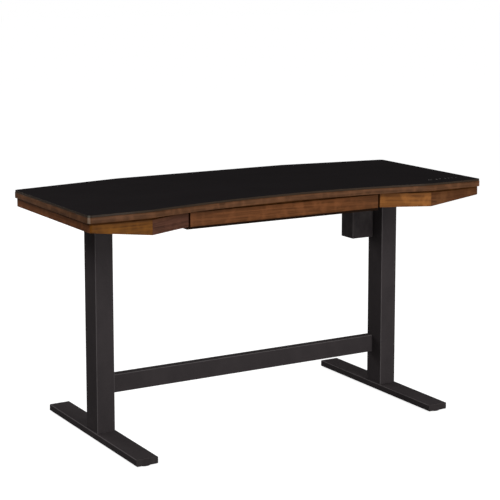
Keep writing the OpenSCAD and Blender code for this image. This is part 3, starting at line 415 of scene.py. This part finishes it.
floor_paint = bpy.data.materials.new("pale_studio_floor")
floor_paint.use_nodes = True
tree = floor_paint.node_tree
tree.nodes.clear()
matt = add(tree, "ShaderNodeBsdfDiffuse", {"Color": srgb("#a4a4a4")})
away = add(tree, "ShaderNodeVectorMath", {0: add(tree, "ShaderNodeTexCoord").outputs["Object"]},
    operation="LENGTH").outputs["Value"]
glow_here = add(tree, "ShaderNodeMapRange", {"Value": away, "From Min": GLOW_RISE[0],
    "From Max": GLOW_RISE[1], "To Min": GLOW_NEAR, "To Max": GLOW_FAR}).outputs["Result"]
glow_seen = add(tree, "ShaderNodeMath", {0: glow_here, 1: seen_directly(tree)},
    operation="MULTIPLY").outputs[0]
glow = add(tree, "ShaderNodeEmission", {"Strength": glow_seen})
both = add(tree, "ShaderNodeAddShader", {0: matt.outputs[0], 1: glow.outputs[0]})
add(tree, "ShaderNodeOutputMaterial", {"Surface": both.outputs[0]})

floor_mesh = bpy.data.meshes.new("floor")
floor_mesh.from_pydata([(x * FLOOR_HALF, y * FLOOR_HALF, -FLOOR_DROP) for x, y in
    ((-1, -1), (1, -1), (1, 1), (-1, 1))], [], [(0, 1, 2, 3)])
floor_mesh.materials.append(floor_paint)
floor = bpy.data.objects.new("floor", floor_mesh)
bpy.context.collection.objects.link(floor)

world = bpy.data.worlds.new("studio")
world.use_nodes = True
tree = world.node_tree
tree.nodes.clear()
daylight = add(tree, "ShaderNodeMapRange", {"Value": seen_directly(tree), "To Min": AMBIENT,
    "To Max": 1.0}).outputs["Result"]
sky = add(tree, "ShaderNodeBackground", {"Color": srgb("#ffffff"), "Strength": daylight})
add(tree, "ShaderNodeOutputWorld", {"Surface": sky.outputs[0]})
bpy.context.scene.world = world

# Lamps: a key above the front, a low broad one in front for the frame under the top, a high one
# on the left, whose light the top keeps off the right column, and two for the right side and the
# back, which the glass doesn't mirror into the camera. Each is an area lamp aimed at the desk's
# middle: degrees left of the front, height, distance and width in metres, and watts.
AIM = Vector((0.0, 0.0, 0.45))
for name, degrees_left, height, distance, width, watts in (
        ("key_softbox", -5, 2.2, 3.0, 1.3, 46),
        ("front_softbox", -8, 0.5, 3.0, 1.4, 46),
        ("left_softbox", 84, 2.1, 2.0, 0.8, 19),
        ("right_softbox", -95, 1.3, 3.2, 1.5, 40),
        ("back_softbox", 162, 2.0, 4.0, 2.0, 95)):
    lamp = bpy.data.objects.new(name, bpy.data.lights.new(name, "AREA"))
    bpy.context.collection.objects.link(lamp)
    angle = math.radians(degrees_left)
    lamp.location = (-distance * math.sin(angle), -distance * math.cos(angle), height)
    lamp.rotation_euler = (AIM - lamp.location).to_track_quat("-Z", "Y").to_euler()
    lamp.data.size = width
    lamp.data.energy = watts

# Making pieces
EASE_STEPS = 3
FACING_UP = 0.5


def new_piece(name, mesh, *finishes):
    """An object at the origin with its finishes in order."""
    for paint in finishes:
        mesh.materials.append(paint)
    piece = bpy.data.objects.new(name, mesh)
    bpy.context.collection.objects.link(piece)
    return piece


def stand_for(piece, node):
    """Let a finished piece ride on its CAD node's body, and stand for it."""
    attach(piece, frame["nodes"][node]["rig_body"])
    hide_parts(node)


def eased(piece, width, paint=-1):
    """Round the sharp edges of a piece by width in mm."""
    rounding = piece.modifiers.new("eased_edges", "BEVEL")
    rounding.width = width * MM
    rounding.segments = EASE_STEPS
    rounding.limit_method = "ANGLE"
    rounding.angle_limit = SHARP
    rounding.harden_normals = True
    rounding.material = paint


def shaped(node):
    """The node's shape with its doubles merged and its flat faces whole."""
    shape = bmesh.new()
    shape.from_mesh(frame["nodes"][node].data)
    bmesh.ops.remove_doubles(shape, verts=shape.verts, dist=MERGE)
    bmesh.ops.dissolve_limit(shape, angle_limit=FLAT, verts=shape.verts, edges=shape.edges)
    for face in shape.faces:
        face.smooth = True
        face.material_index = 0
    return shape


def mesh_of(shape, name):
    """A mesh with this name from a shape that is done with."""
    mesh = bpy.data.meshes.new(name)
    shape.to_mesh(mesh)
    shape.free()
    return mesh


def made_from(node, name, paint, width=0.0):
    """A finished piece on the node's shape, with smooth rounds and eased edges."""
    mesh = mesh_of(shaped(node), name)
    piece = new_piece(name, mesh, paint)
    if width:
        eased(piece, width)
    else:
        mesh.set_sharp_from_angle(angle=SHARP)
    stand_for(piece, node)
    return piece


def rim_of(node):
    """Corners of the node's upper face, counter-clockwise from above."""
    shape = shaped(node)
    upper = max((face for face in shape.faces if face.normal.z > FACING_UP),
        key=lambda face: face.calc_area())
    rim = [(vert.co.x, vert.co.y) for vert in upper.verts]
    shape.free()
    return rim


# Front and side boards: prisms on the outline of their CAD nodes, with a rebate under the panel
FRONT = (0.0, -1.0)
LEFT = (-1.0, 0.0)
RIGHT = (1.0, 0.0)
FRONT_REBATE = 5.0 * MM
SIDE_REBATE = 2.5 * MM
DEEP = 8.0 * MM
SHALLOW = 1.6 * MM
BOARD_EASE = 0.7
DRAWER_EDGE = 350 * MM
DRAWER_TRIM = 1.0 * MM
DESK_CORNER = 650 * MM
GENTLE = math.radians(20)


def feet_of(node, rim):
    """Height of the node's lower side under each corner of its rim."""
    shape = shaped(node)
    feet = [min(vert.co.z for vert in shape.verts if (vert.co.xy - Vector(corner)).length < MERGE)
        for corner in rim]
    shape.free()
    return feet


def outer_chain(sides, out, facing):
    """Corners of the board's outer side in order, on past the gentle turns of a rounded corner."""
    count = len(sides)
    first = max(range(count), key=lambda i: out[i].dot(Vector(facing)))
    turns = [sides[i - 1].angle(sides[i]) for i in range(count)]
    chain = [first, (first + 1) % count]
    while turns[chain[0]] < GENTLE:
        chain.insert(0, (chain[0] - 1) % count)
    while turns[chain[-1]] < GENTLE:
        chain.append((chain[-1] + 1) % count)
    return chain


def rebate_corners(rim, sides, out, chain):
    """Inner corner of the rebate for each corner of the chain.

    The rebate runs out to almost nothing at the desk's corners, so that nothing shows through.
    """
    inner = {}
    for corner in chain:
        before, after = out[corner - 1].normalized(), out[corner].normalized()
        if corner == chain[0]:
            way, inward = -sides[corner - 1].normalized(), -after
        elif corner == chain[-1]:
            way, inward = sides[corner].normalized(), -before
        else:
            way, inward = -(before + after).normalized(), -before
        depth = SHALLOW if abs(rim[corner].x) > DESK_CORNER else DEEP
        inner[corner] = rim[corner] + way * (depth / way.dot(inward))
    return inner


def board(node, name, paint, facing=FRONT):
    """A board with eased edges and a rebate along its upper outer edge, in a finish of painted
    shade.
    """
    on_drawer = frame["nodes"][node]["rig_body"] == "drawer"
    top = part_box(node)[1].z
    step = top - (FRONT_REBATE if facing == FRONT else SIDE_REBATE)
    outline = rim_of(node)
    feet = feet_of(node, outline)
    trim = DRAWER_TRIM if on_drawer else 0.0
    rim = [Vector((x - math.copysign(trim, x), y)) for x, y in outline]
    count = len(rim)
    sides = [rim[(i + 1) % count] - rim[i] for i in range(count)]
    out = [Vector((side.y, -side.x)) for side in sides]
    chain = outer_chain(sides, out, facing)
    inner = rebate_corners(rim, sides, out, chain)
    shape = bmesh.new()
    under = [shape.verts.new((*corner, foot)) for corner, foot in zip(rim, feet)]
    over = [shape.verts.new((*inner.get(i, rim[i]), top)) for i in range(count)]
    ledge = {i: (shape.verts.new((*rim[i], step)), shape.verts.new((*inner[i], step)))
        for i in inner}
    shape.faces.new(under[::-1])
    shape.faces.new(over)
    for i in range(count):
        j = (i + 1) % count
        if i in chain[:-1]:
            shape.faces.new((under[i], under[j], ledge[j][0], ledge[i][0]))
            # The rebate's faces take the painted shade.
            for corners in ((ledge[i][0], ledge[j][0], ledge[j][1], ledge[i][1]),
                    (ledge[i][1], ledge[j][1], over[j], over[i])):
                shape.faces.new(corners).material_index = 1
            continue
        corners = [under[i], under[j], *ledge.get(j, ()), over[j], over[i],
            *ledge.get(i, ())[::-1]]
        end = shape.faces.new(corners)
        # End faces beside the drawer take the painted shade as well.
        beside_drawer = max(abs(rim[i].x), abs(rim[j].x)) < DRAWER_EDGE
        if beside_drawer and not on_drawer:
            end.material_index = 1
    for face in shape.faces:
        face.smooth = True
    piece = new_piece(name, mesh_of(shape, name), paint, painted_shade_finish)
    eased(piece, BOARD_EASE)
    stand_for(piece, node)


board("left_outer_facet", "left_front_board", walnut["left_front"])
board("right_outer_facet", "right_front_board", walnut["right_front"])
board("left_inner_facet", "left_knee_board", walnut["left_knee"])
board("right_inner_facet", "right_knee_board", walnut["right_knee"])
board("left_side_apron", "left_side_board", walnut["sides"], LEFT)
board("right_side_apron", "right_side_board", walnut["sides"], RIGHT)
board("drawer_front", "drawer_face", walnut["drawer_front"])

# Pieces with the shape of their CAD node: node, piece, finish, and how far edges are eased in mm
for node, name, paint, width in (
        ("back_apron", "back_board", walnut["back"], 1.2),
        ("housing_bottom", "drawer_shelf_board", black_lacquer, 0.8),
        ("housing_sides", "drawer_cheek_boards", black_lacquer, 0.8),
        ("drawer_left_side", "drawer_left_board", poplar["deep"], 1.0),
        ("drawer_right_side", "drawer_right_board", poplar["deep"], 1.0),
        ("drawer_back", "drawer_back_board", poplar["wide"], 1.0),
        ("drawer_bottom", "drawer_floor_board", poplar["wide"], 0.4),
        ("corner_blocks", "glue_blocks", poplar["wide"], 1.0),
        ("touch_panel", "touch_module", black_abs, 1.5),
        ("foot_end_caps", "foot_caps", black_abs, 2.0),
        ("motor_cover", "motor_shroud", black_abs, 1.5),
        ("control_box", "control_case", black_abs, 1.5),
        ("left_outer_column", "left_outer_tube", powder_coat, 0.0),
        ("right_outer_column", "right_outer_tube", powder_coat, 0.0),
        ("left_inner_column", "left_inner_tube", powder_coat, 0.0),
        ("right_inner_column", "right_inner_tube", powder_coat, 0.0),
        ("left_foot", "left_foot_tube", powder_coat, 0.0),
        ("right_foot", "right_foot_tube", powder_coat, 0.0),
        ("stretcher", "stretcher_tube", powder_coat, 0.0),
        ("column_collars", "tube_collars", black_abs, 0.0),
        ("left_arm", "left_top_arm", powder_coat, 0.0),
        ("right_arm", "right_top_arm", powder_coat, 0.0),
        ("crossbar", "top_crossbar", powder_coat, 0.0),
        ("left_gear_housing", "left_gear_case", powder_coat, 0.0),
        ("right_gear_housing", "right_gear_case", powder_coat, 0.0),
        ("column_slide_pads", "tube_slide_pads", acetal, 0.0),
        ("fixed_runners", "cabinet_runners", zinc, 0.4),
        ("middle_runners", "sliding_runners", zinc, 0.4),
        ("drawer_runners", "box_runners", zinc, 0.4),
        ("lead_clips", "lead_saddles", black_abs, 0.0)):
    made_from(node, name, paint, width)

# Glass top: its outline comes from the CAD glass, and the touch panel's marks are faces of its
# upper side: a ring, an up and a down mark, three bars and a dot
GLASS_EASE = 1.3
MARK_Y = -241 * MM
RING_X = 542 * MM
RING_RADIUS = 6.0 * MM
RING_LINE = 1.6 * MM
ARROW_PLACES = ((568 * MM, 1), (584 * MM, -1))
ARROW_HALF = 4.5 * MM
BAR_PLACES = (604 * MM, 618 * MM, 632 * MM)
BAR_WIDE = 1.1 * MM
BAR_TALL = 4.5 * MM
DOT_X = 647 * MM
DOT_RADIUS = 2.2 * MM
DOT_CORNERS = 16


def circle(x, y, radius, count=24):
    """Corners of a circle, counter-clockwise."""
    return [(x + radius * math.cos(math.tau * i / count),
        y + radius * math.sin(math.tau * i / count)) for i in range(count)]


def touch_marks():
    """Outlines of the dot, the arrows and the bars, counter-clockwise."""
    marks = [circle(DOT_X, MARK_Y, DOT_RADIUS, DOT_CORNERS)]
    for x, way in ARROW_PLACES:
        half = ARROW_HALF * way
        marks.append([(x - half, MARK_Y - half), (x + half, MARK_Y - half), (x, MARK_Y + half)])
    for x in BAR_PLACES:
        marks.append([(x - BAR_WIDE, MARK_Y - BAR_TALL), (x + BAR_WIDE, MARK_Y - BAR_TALL),
            (x + BAR_WIDE, MARK_Y + BAR_TALL), (x - BAR_WIDE, MARK_Y + BAR_TALL)])
    return marks


def glass_top():
    """Black glass sheet with polished edges and printed marks."""
    low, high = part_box("glass_top")
    rim = rim_of("glass_top")
    ring = circle(RING_X, MARK_Y, RING_RADIUS)
    ring_hole = circle(RING_X, MARK_Y, RING_RADIUS - RING_LINE)
    marks = touch_marks()
    shape = bmesh.new()
    made = {}

    def corner(point, z):
        key = (round(point[0], 7), round(point[1], 7), z)
        if key not in made:
            made[key] = shape.verts.new((point[0], point[1], z))
        return made[key]

    def flat(loops, finish_number):
        """Fill the first loop on the upper side, leaving out the others."""
        points = [point for loop in loops for point in loop]
        for three in tessellate_polygon([[Vector((x, y, 0)) for x, y in loop] for loop in loops]):
            a, b, c = (Vector(points[i]) for i in three)
            if (b - a).cross(c - a) < 0:
                three = three[::-1]
            face = shape.faces.new([corner(points[i], high.z) for i in three])
            face.material_index = finish_number

    flat([rim, ring] + marks, 0)
    flat([ring_hole], 0)
    flat([ring, ring_hole], 1)
    for mark in marks:
        flat([mark], 1)
    for i, here in enumerate(rim):
        there = rim[(i + 1) % len(rim)]
        side = shape.faces.new([corner(here, low.z), corner(there, low.z), corner(there, high.z),
            corner(here, high.z)])
        side.material_index = 2
    shape.faces.new([corner(point, low.z) for point in reversed(rim)])
    for face in shape.faces:
        face.smooth = True
    mesh = mesh_of(shape, "glass_sheet")
    piece = new_piece("glass_sheet", mesh, glass_face, glass_marks, glass_edge)
    eased(piece, GLASS_EASE, 2)
    stand_for(piece, "glass_top")


glass_top()


# Growing meshes with Geometry Nodes

def geometry_tree(name, inputs):
    """A Geometry Nodes tree with geometry in and out and these named inputs."""
    tree = bpy.data.node_groups.new(name, "GeometryNodeTree")
    tree.interface.new_socket("Geometry", in_out="INPUT", socket_type="NodeSocketGeometry")
    for label, kind, value in inputs:
        socket = tree.interface.new_socket(label, in_out="INPUT", socket_type="NodeSocket" + kind)
        if value is not None:
            socket.default_value = value
    tree.interface.new_socket("Geometry", in_out="OUTPUT", socket_type="NodeSocketGeometry")
    return tree, add(tree, "NodeGroupInput").outputs


def finished_tree(tree, geometry, paint):
    """End the tree: instances made real, and the finish set."""
    whole = add(tree, "GeometryNodeRealizeInstances", {"Geometry": geometry})
    coated = add(tree, "GeometryNodeSetMaterial", {"Geometry": whole.outputs["Geometry"],
        "Material": paint})
    add(tree, "NodeGroupOutput", {"Geometry": coated.outputs["Geometry"]})


def grown(name, base, tree, values):
    """The plain mesh that a Geometry Nodes tree grows on base with these input values."""
    holder = bpy.data.objects.new(name, base)
    bpy.context.collection.objects.link(holder)
    growth = holder.modifiers.new("growth", "NODES")
    growth.node_group = tree
    for socket in tree.interface.items_tree:
        if socket.in_out == "INPUT" and socket.name in values:
            growth[socket.identifier] = values[socket.name]
    scene_now = bpy.context.evaluated_depsgraph_get()
    mesh = bpy.data.meshes.new_from_object(holder.evaluated_get(scene_now))
    bpy.data.objects.remove(holder)
    mesh.name = name
    for face in mesh.polygons:
        face.use_smooth = True
    return mesh


def moved_up(tree, mesh, height):
    """Mesh moved along Z."""
    lift = add(tree, "ShaderNodeCombineXYZ", {2: height}).outputs["Vector"]
    return add(tree, "GeometryNodeTransform", {"Geometry": mesh, "Translation": lift}).outputs[0]


def shares_of(tree, given, rows):
    """Sizes that are a fixed share of one of the tree's inputs: name, input, share."""
    return {name: add(tree, "ShaderNodeMath", {0: given[label], 1: share},
        operation="MULTIPLY").outputs[0] for name, label, share in rows}


# Edge band: a profile with rounded edges, swept round the panel
BAND_EDGE = 1.3 * MM
BAND_SHARP = math.radians(40)
band_tree, given = geometry_tree("edge_band_sweep", (("Band Thickness", "Float", 0.003),
    ("Band Height", "Float", 0.018), ("Edge Radius", "Float", 0.001), ("Finish", "Material", None)))
path = add(band_tree, "GeometryNodeMeshToCurve", {"Mesh": given["Geometry"]})
upright = add(band_tree, "GeometryNodeSetCurveNormal", {"Curve": path.outputs["Curve"]},
    mode="Z_UP")
section = add(band_tree, "GeometryNodeCurvePrimitiveQuadrilateral",
    {"Width": given["Band Thickness"], "Height": given["Band Height"]})
section = add(band_tree, "GeometryNodeFilletCurve", {"Curve": section.outputs["Curve"],
    "Radius": given["Edge Radius"], "Count": 3}, mode="POLY")
swept = add(band_tree, "GeometryNodeCurveToMesh", {"Curve": upright.outputs["Curve"],
    "Profile Curve": section.outputs["Curve"]})
finished_tree(band_tree, swept.outputs["Mesh"], given["Finish"])


def moved_out(rim, width):
    """A counter-clockwise outline moved outwards by width."""
    moved = []
    for i, here in enumerate(rim):
        before = Vector(here) - Vector(rim[i - 1])
        after = Vector(rim[(i + 1) % len(rim)]) - Vector(here)
        out = [Vector((side.y, -side.x)).normalized() for side in (before, after)]
        middle = (out[0] + out[1]).normalized()
        moved.append(tuple(Vector(here) + middle * (width / middle.dot(out[0]))))
    return moved


def edge_band():
    """Rounded walnut band that starts at the back right, with the length along it kept."""
    low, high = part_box("edge_band")
    glass_inset = high.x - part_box("glass_top")[1].x
    thickness = high.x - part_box("desktop_panel")[1].x
    rim = moved_out(rim_of("glass_top"), glass_inset - thickness / 2)
    first = max(range(len(rim)), key=lambda i: rim[i][0] + 2 * rim[i][1])
    rim = rim[first:] + rim[:first]
    middle = (low.z + high.z) / 2
    base = bpy.data.meshes.new("band_path")
    base.from_pydata([(x, y, middle) for x, y in rim],
        [(i, (i + 1) % len(rim)) for i in range(len(rim))], [])
    run = base.attributes.new("along", "FLOAT", "POINT")
    length = 0.0
    for i, here in enumerate(rim):
        if i:
            length += math.dist(rim[i - 1], here)
        run.data[i].value = length
    mesh = grown("panel_band", base, band_tree, {"Band Thickness": thickness,
        "Band Height": high.z - low.z, "Edge Radius": BAND_EDGE, "Finish": walnut_band})
    mesh.set_sharp_from_angle(angle=BAND_SHARP)
    stand_for(new_piece("panel_band", mesh), "edge_band")


edge_band()

# Fasteners: socket heads on shanks, where the CAD screws are. The shank goes on into the head,
# and a six-sided cutter as tall as the head leaves the socket.
SHANK_IN_HEAD = 0.4
SOCKET_WIDTH = 0.52
CUTTER_MIDDLE = 1.05
screw_tree, given = geometry_tree("socket_screws", (("Head Radius", "Float", 0.005),
    ("Head Height", "Float", 0.003), ("Shank Radius", "Float", 0.002),
    ("Shank Length", "Float", 0.012), ("Finish", "Material", None)))
part = shares_of(screw_tree, given, (("head middle", "Head Height", 0.5),
    ("shank end", "Head Height", SHANK_IN_HEAD), ("cutter middle", "Head Height", CUTTER_MIDDLE),
    ("cutter radius", "Head Radius", SOCKET_WIDTH)))
head = add(screw_tree, "GeometryNodeMeshCylinder", {"Vertices": 24, "Radius": given["Head Radius"],
    "Depth": given["Head Height"]}).outputs["Mesh"]
head = moved_up(screw_tree, head, part["head middle"])
reach = add(screw_tree, "ShaderNodeMath", {0: given["Shank Length"],
    1: part["shank end"]}).outputs[0]
shank = add(screw_tree, "GeometryNodeMeshCylinder", {"Vertices": 16,
    "Radius": given["Shank Radius"], "Depth": reach}).outputs["Mesh"]
sunk = add(screw_tree, "ShaderNodeMath", {0: reach, 1: -0.5, 2: part["shank end"]},
    operation="MULTIPLY_ADD").outputs[0]
shank = moved_up(screw_tree, shank, sunk)
joined = add(screw_tree, "GeometryNodeMeshBoolean", {"Mesh 2": head}, operation="UNION")
screw_tree.links.new(shank, joined.inputs["Mesh 2"])
cutter = add(screw_tree, "GeometryNodeMeshCylinder", {"Vertices": 6,
    "Radius": part["cutter radius"], "Depth": given["Head Height"]}).outputs["Mesh"]
cutter = moved_up(screw_tree, cutter, part["cutter middle"])
screw = add(screw_tree, "GeometryNodeMeshBoolean", {"Mesh 1": joined.outputs["Mesh"],
    "Mesh 2": cutter}, operation="DIFFERENCE").outputs["Mesh"]
way = add(screw_tree, "GeometryNodeInputNamedAttribute", {"Name": "way"},
    data_type="FLOAT_VECTOR").outputs["Attribute"]
aimed = add(screw_tree, "FunctionNodeAlignRotationToVector", {"Vector": way}, axis="Z")
row = add(screw_tree, "GeometryNodeInstanceOnPoints", {"Points": given["Geometry"],
    "Instance": screw, "Rotation": aimed.outputs["Rotation"]})
finished_tree(screw_tree, row.outputs["Instances"], given["Finish"])


def islands(node):
    """The node's separate solids, each as a list of its corners."""
    shape = shaped(node)
    left = set(shape.verts)
    found = []
    while left:
        group = [left.pop()]
        for vert in group:
            near = {edge.other_vert(vert) for edge in vert.link_edges} & left
            left -= near
            group.extend(near)
        found.append([vert.co.copy() for vert in group])
    shape.free()
    return found


def fastener_of(corners):
    """Seat point, direction of the head, and sizes of one CAD screw."""
    levels = [sorted({round(corner[axis], 6) for corner in corners}) for axis in range(3)]
    axis = min(range(3), key=lambda i: len(levels[i]))
    lowest, *between, highest = levels[axis]
    middle = Vector([(ends[0] + ends[-1]) / 2 for ends in levels])

    def radius(level):
        """How far the screw reaches from its axis at this level."""
        return max(Vector([corner[i] - middle[i] for i in range(3) if i != axis]).length
            for corner in corners if abs(corner[axis] - level) < MERGE)

    head, tip = (lowest, highest) if radius(lowest) > radius(highest) else (highest, lowest)
    seat = min(between, key=lambda level: abs(level - head)) if between else head
    place = middle.copy()
    place[axis] = seat
    way = [0.0, 0.0, 0.0]
    way[axis] = math.copysign(1.0, head - tip)
    sizes = (radius(head), abs(head - seat), radius(tip), abs(seat - tip))
    return place, way, tuple(round(size, 5) for size in sizes)


def fasteners(node, name):
    """All screws of a node as one piece, a run of the tree for each size."""
    by_size = {}
    for corners in islands(node):
        place, way, sizes = fastener_of(corners)
        by_size.setdefault(sizes, []).append((place, way))
    whole = bmesh.new()
    for sizes, places in sorted(by_size.items()):
        base = bpy.data.meshes.new("screw_places")
        base.from_pydata([place for place, way in places], [], [])
        ways = base.attributes.new("way", "FLOAT_VECTOR", "POINT")
        for i, (place, way) in enumerate(places):
            ways.data[i].vector = way
        whole.from_mesh(grown("screws_of_one_size", base, screw_tree, {"Head Radius": sizes[0],
            "Head Height": sizes[1], "Shank Radius": sizes[2], "Shank Length": sizes[3],
            "Finish": zinc}))
    for face in whole.faces:
        face.material_index = 0
    mesh = mesh_of(whole, name)
    mesh.materials.clear()
    mesh.set_sharp_from_angle(angle=SHARP)
    stand_for(new_piece(name, mesh, zinc), node)


fasteners("arm_screws", "top_screws")
fasteners("frame_bolts", "frame_screws")
fasteners("base_bolts", "base_screws")

# Glides: a ribbed pad on a threaded stem, one mesh for each glide. The stem starts inside the
# pad, and each turn of its thread is a flat cone.
RIB_HEIGHT = 0.8
STEM_CORE = 0.88
STEM_SHARE = 0.85
CREST_TOP = 0.86
CREST_HEIGHT = 0.6
glide_tree, given = geometry_tree("ribbed_glide", (("Pad Radius", "Float", 0.02),
    ("Pad Height", "Float", 0.0037), ("Rib Count", "Int", 40), ("Rib Radius", "Float", 0.0009),
    ("Stem Radius", "Float", 0.004), ("Stem Height", "Float", 0.013),
    ("Thread Step", "Float", 0.00125), ("Finish", "Material", None)))
part = shares_of(glide_tree, given, (("pad middle", "Pad Height", 0.5),
    ("rib height", "Pad Height", RIB_HEIGHT), ("core radius", "Stem Radius", STEM_CORE),
    ("core height", "Stem Height", STEM_SHARE), ("core middle", "Stem Height", 1 - STEM_SHARE / 2),
    ("crest top", "Stem Radius", CREST_TOP), ("crest height", "Thread Step", CREST_HEIGHT)))
pad_radius = add(glide_tree, "ShaderNodeMath", {0: given["Pad Radius"], 1: given["Rib Radius"]},
    operation="SUBTRACT").outputs[0]
pad = add(glide_tree, "GeometryNodeMeshCylinder", {"Vertices": 48, "Radius": pad_radius,
    "Depth": given["Pad Height"]}).outputs["Mesh"]
pad = moved_up(glide_tree, pad, part["pad middle"])
hoop = add(glide_tree, "GeometryNodeCurvePrimitiveCircle", {"Resolution": given["Rib Count"],
    "Radius": pad_radius}).outputs["Curve"]
rib = add(glide_tree, "GeometryNodeMeshCylinder", {"Vertices": 8, "Radius": given["Rib Radius"],
    "Depth": part["rib height"]}).outputs["Mesh"]
rib = moved_up(glide_tree, rib, part["pad middle"])
ribs = add(glide_tree, "GeometryNodeInstanceOnPoints", {"Points": hoop, "Instance": rib})
stem = add(glide_tree, "GeometryNodeMeshCylinder", {"Vertices": 20,
    "Radius": part["core radius"], "Depth": part["core height"]}).outputs["Mesh"]
stem = moved_up(glide_tree, stem, part["core middle"])
thread_length = add(glide_tree, "ShaderNodeMath", {0: given["Stem Height"],
    1: given["Pad Height"]}, operation="SUBTRACT").outputs[0]
turns = add(glide_tree, "ShaderNodeMath", {0: thread_length, 1: given["Thread Step"]},
    operation="DIVIDE").outputs[0]
rise = add(glide_tree, "ShaderNodeCombineXYZ", {2: given["Thread Step"]}).outputs["Vector"]
lowest = add(glide_tree, "ShaderNodeMath", {0: given["Thread Step"], 1: 0.5,
    2: given["Pad Height"]}, operation="MULTIPLY_ADD").outputs[0]
first = add(glide_tree, "ShaderNodeCombineXYZ", {2: lowest}).outputs["Vector"]
line = add(glide_tree, "GeometryNodeMeshLine", {"Count": turns, "Start Location": first,
    "Offset": rise})
crest = add(glide_tree, "GeometryNodeMeshCone", {"Vertices": 20, "Side Segments": 1,
    "Radius Top": part["crest top"], "Radius Bottom": given["Stem Radius"],
    "Depth": part["crest height"]}).outputs["Mesh"]
thread = add(glide_tree, "GeometryNodeInstanceOnPoints", {"Points": line.outputs["Mesh"],
    "Instance": crest})
glide = add(glide_tree, "GeometryNodeJoinGeometry", {"Geometry": pad})
for piece_of_glide in (ribs.outputs["Instances"], stem, thread.outputs["Instances"]):
    glide_tree.links.new(piece_of_glide, glide.inputs["Geometry"])
placed = add(glide_tree, "GeometryNodeInstanceOnPoints", {"Points": given["Geometry"],
    "Instance": glide.outputs["Geometry"]})
finished_tree(glide_tree, placed.outputs["Instances"], given["Finish"])

for corner in ("front_left", "front_right", "rear_left", "rear_right"):
    node = corner + "_glide"
    name = corner + "_levelling_foot"
    low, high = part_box(node)
    base = bpy.data.meshes.new("glide_place")
    base.from_pydata([((low.x + high.x) / 2, (low.y + high.y) / 2, low.z)], [], [])
    mesh = grown(name, base, glide_tree, {"Pad Radius": (high.x - low.x) / 2,
        "Stem Height": high.z - low.z, "Finish": black_nylon})
    mesh.set_sharp_from_angle(angle=SHARP)
    stand_for(new_piece(name, mesh), node)

# Pieces of two finishes: the wings' grain follows each board, and the inlet has metal pins
PINS_BEHIND = 12.0 * MM
PINS_REACH = (9.0 * MM, 6.0 * MM, 6.0 * MM)
wings = made_from("back_wings", "back_wing_boards", walnut["left_wing"], 1.2)
wings.data.materials.append(walnut["right_wing"])
for face in wings.data.polygons:
    face.material_index = int(face.center.x > 0)
inlet = made_from("power_inlet", "mains_inlet", black_abs)
inlet.data.materials.append(zinc)
low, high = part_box("power_inlet")
pins = Vector(((low.x + high.x) / 2, low.y + PINS_BEHIND, (low.z + high.z) / 2))
for face in inlet.data.polygons:
    offset = face.center - pins
    face.material_index = int(all(abs(offset[i]) < PINS_REACH[i] for i in range(3)))

# CAD nodes that keep their shape
for node, paint in (
        ("desktop_panel", backer), ("nut_posts", zinc), ("spindle_nuts", acetal),
        ("spindle_bearings", zinc), ("motor_can", zinc), ("motor_gearbox", cast_metal),
        ("motor_worm", zinc), ("leads", pvc), ("left_spindle", zinc), ("right_spindle", zinc),
        ("drive_shaft", zinc), ("shaft_worms", brass)):
    for holder in frame["nodes"][node].material_slots:
        holder.material = paint
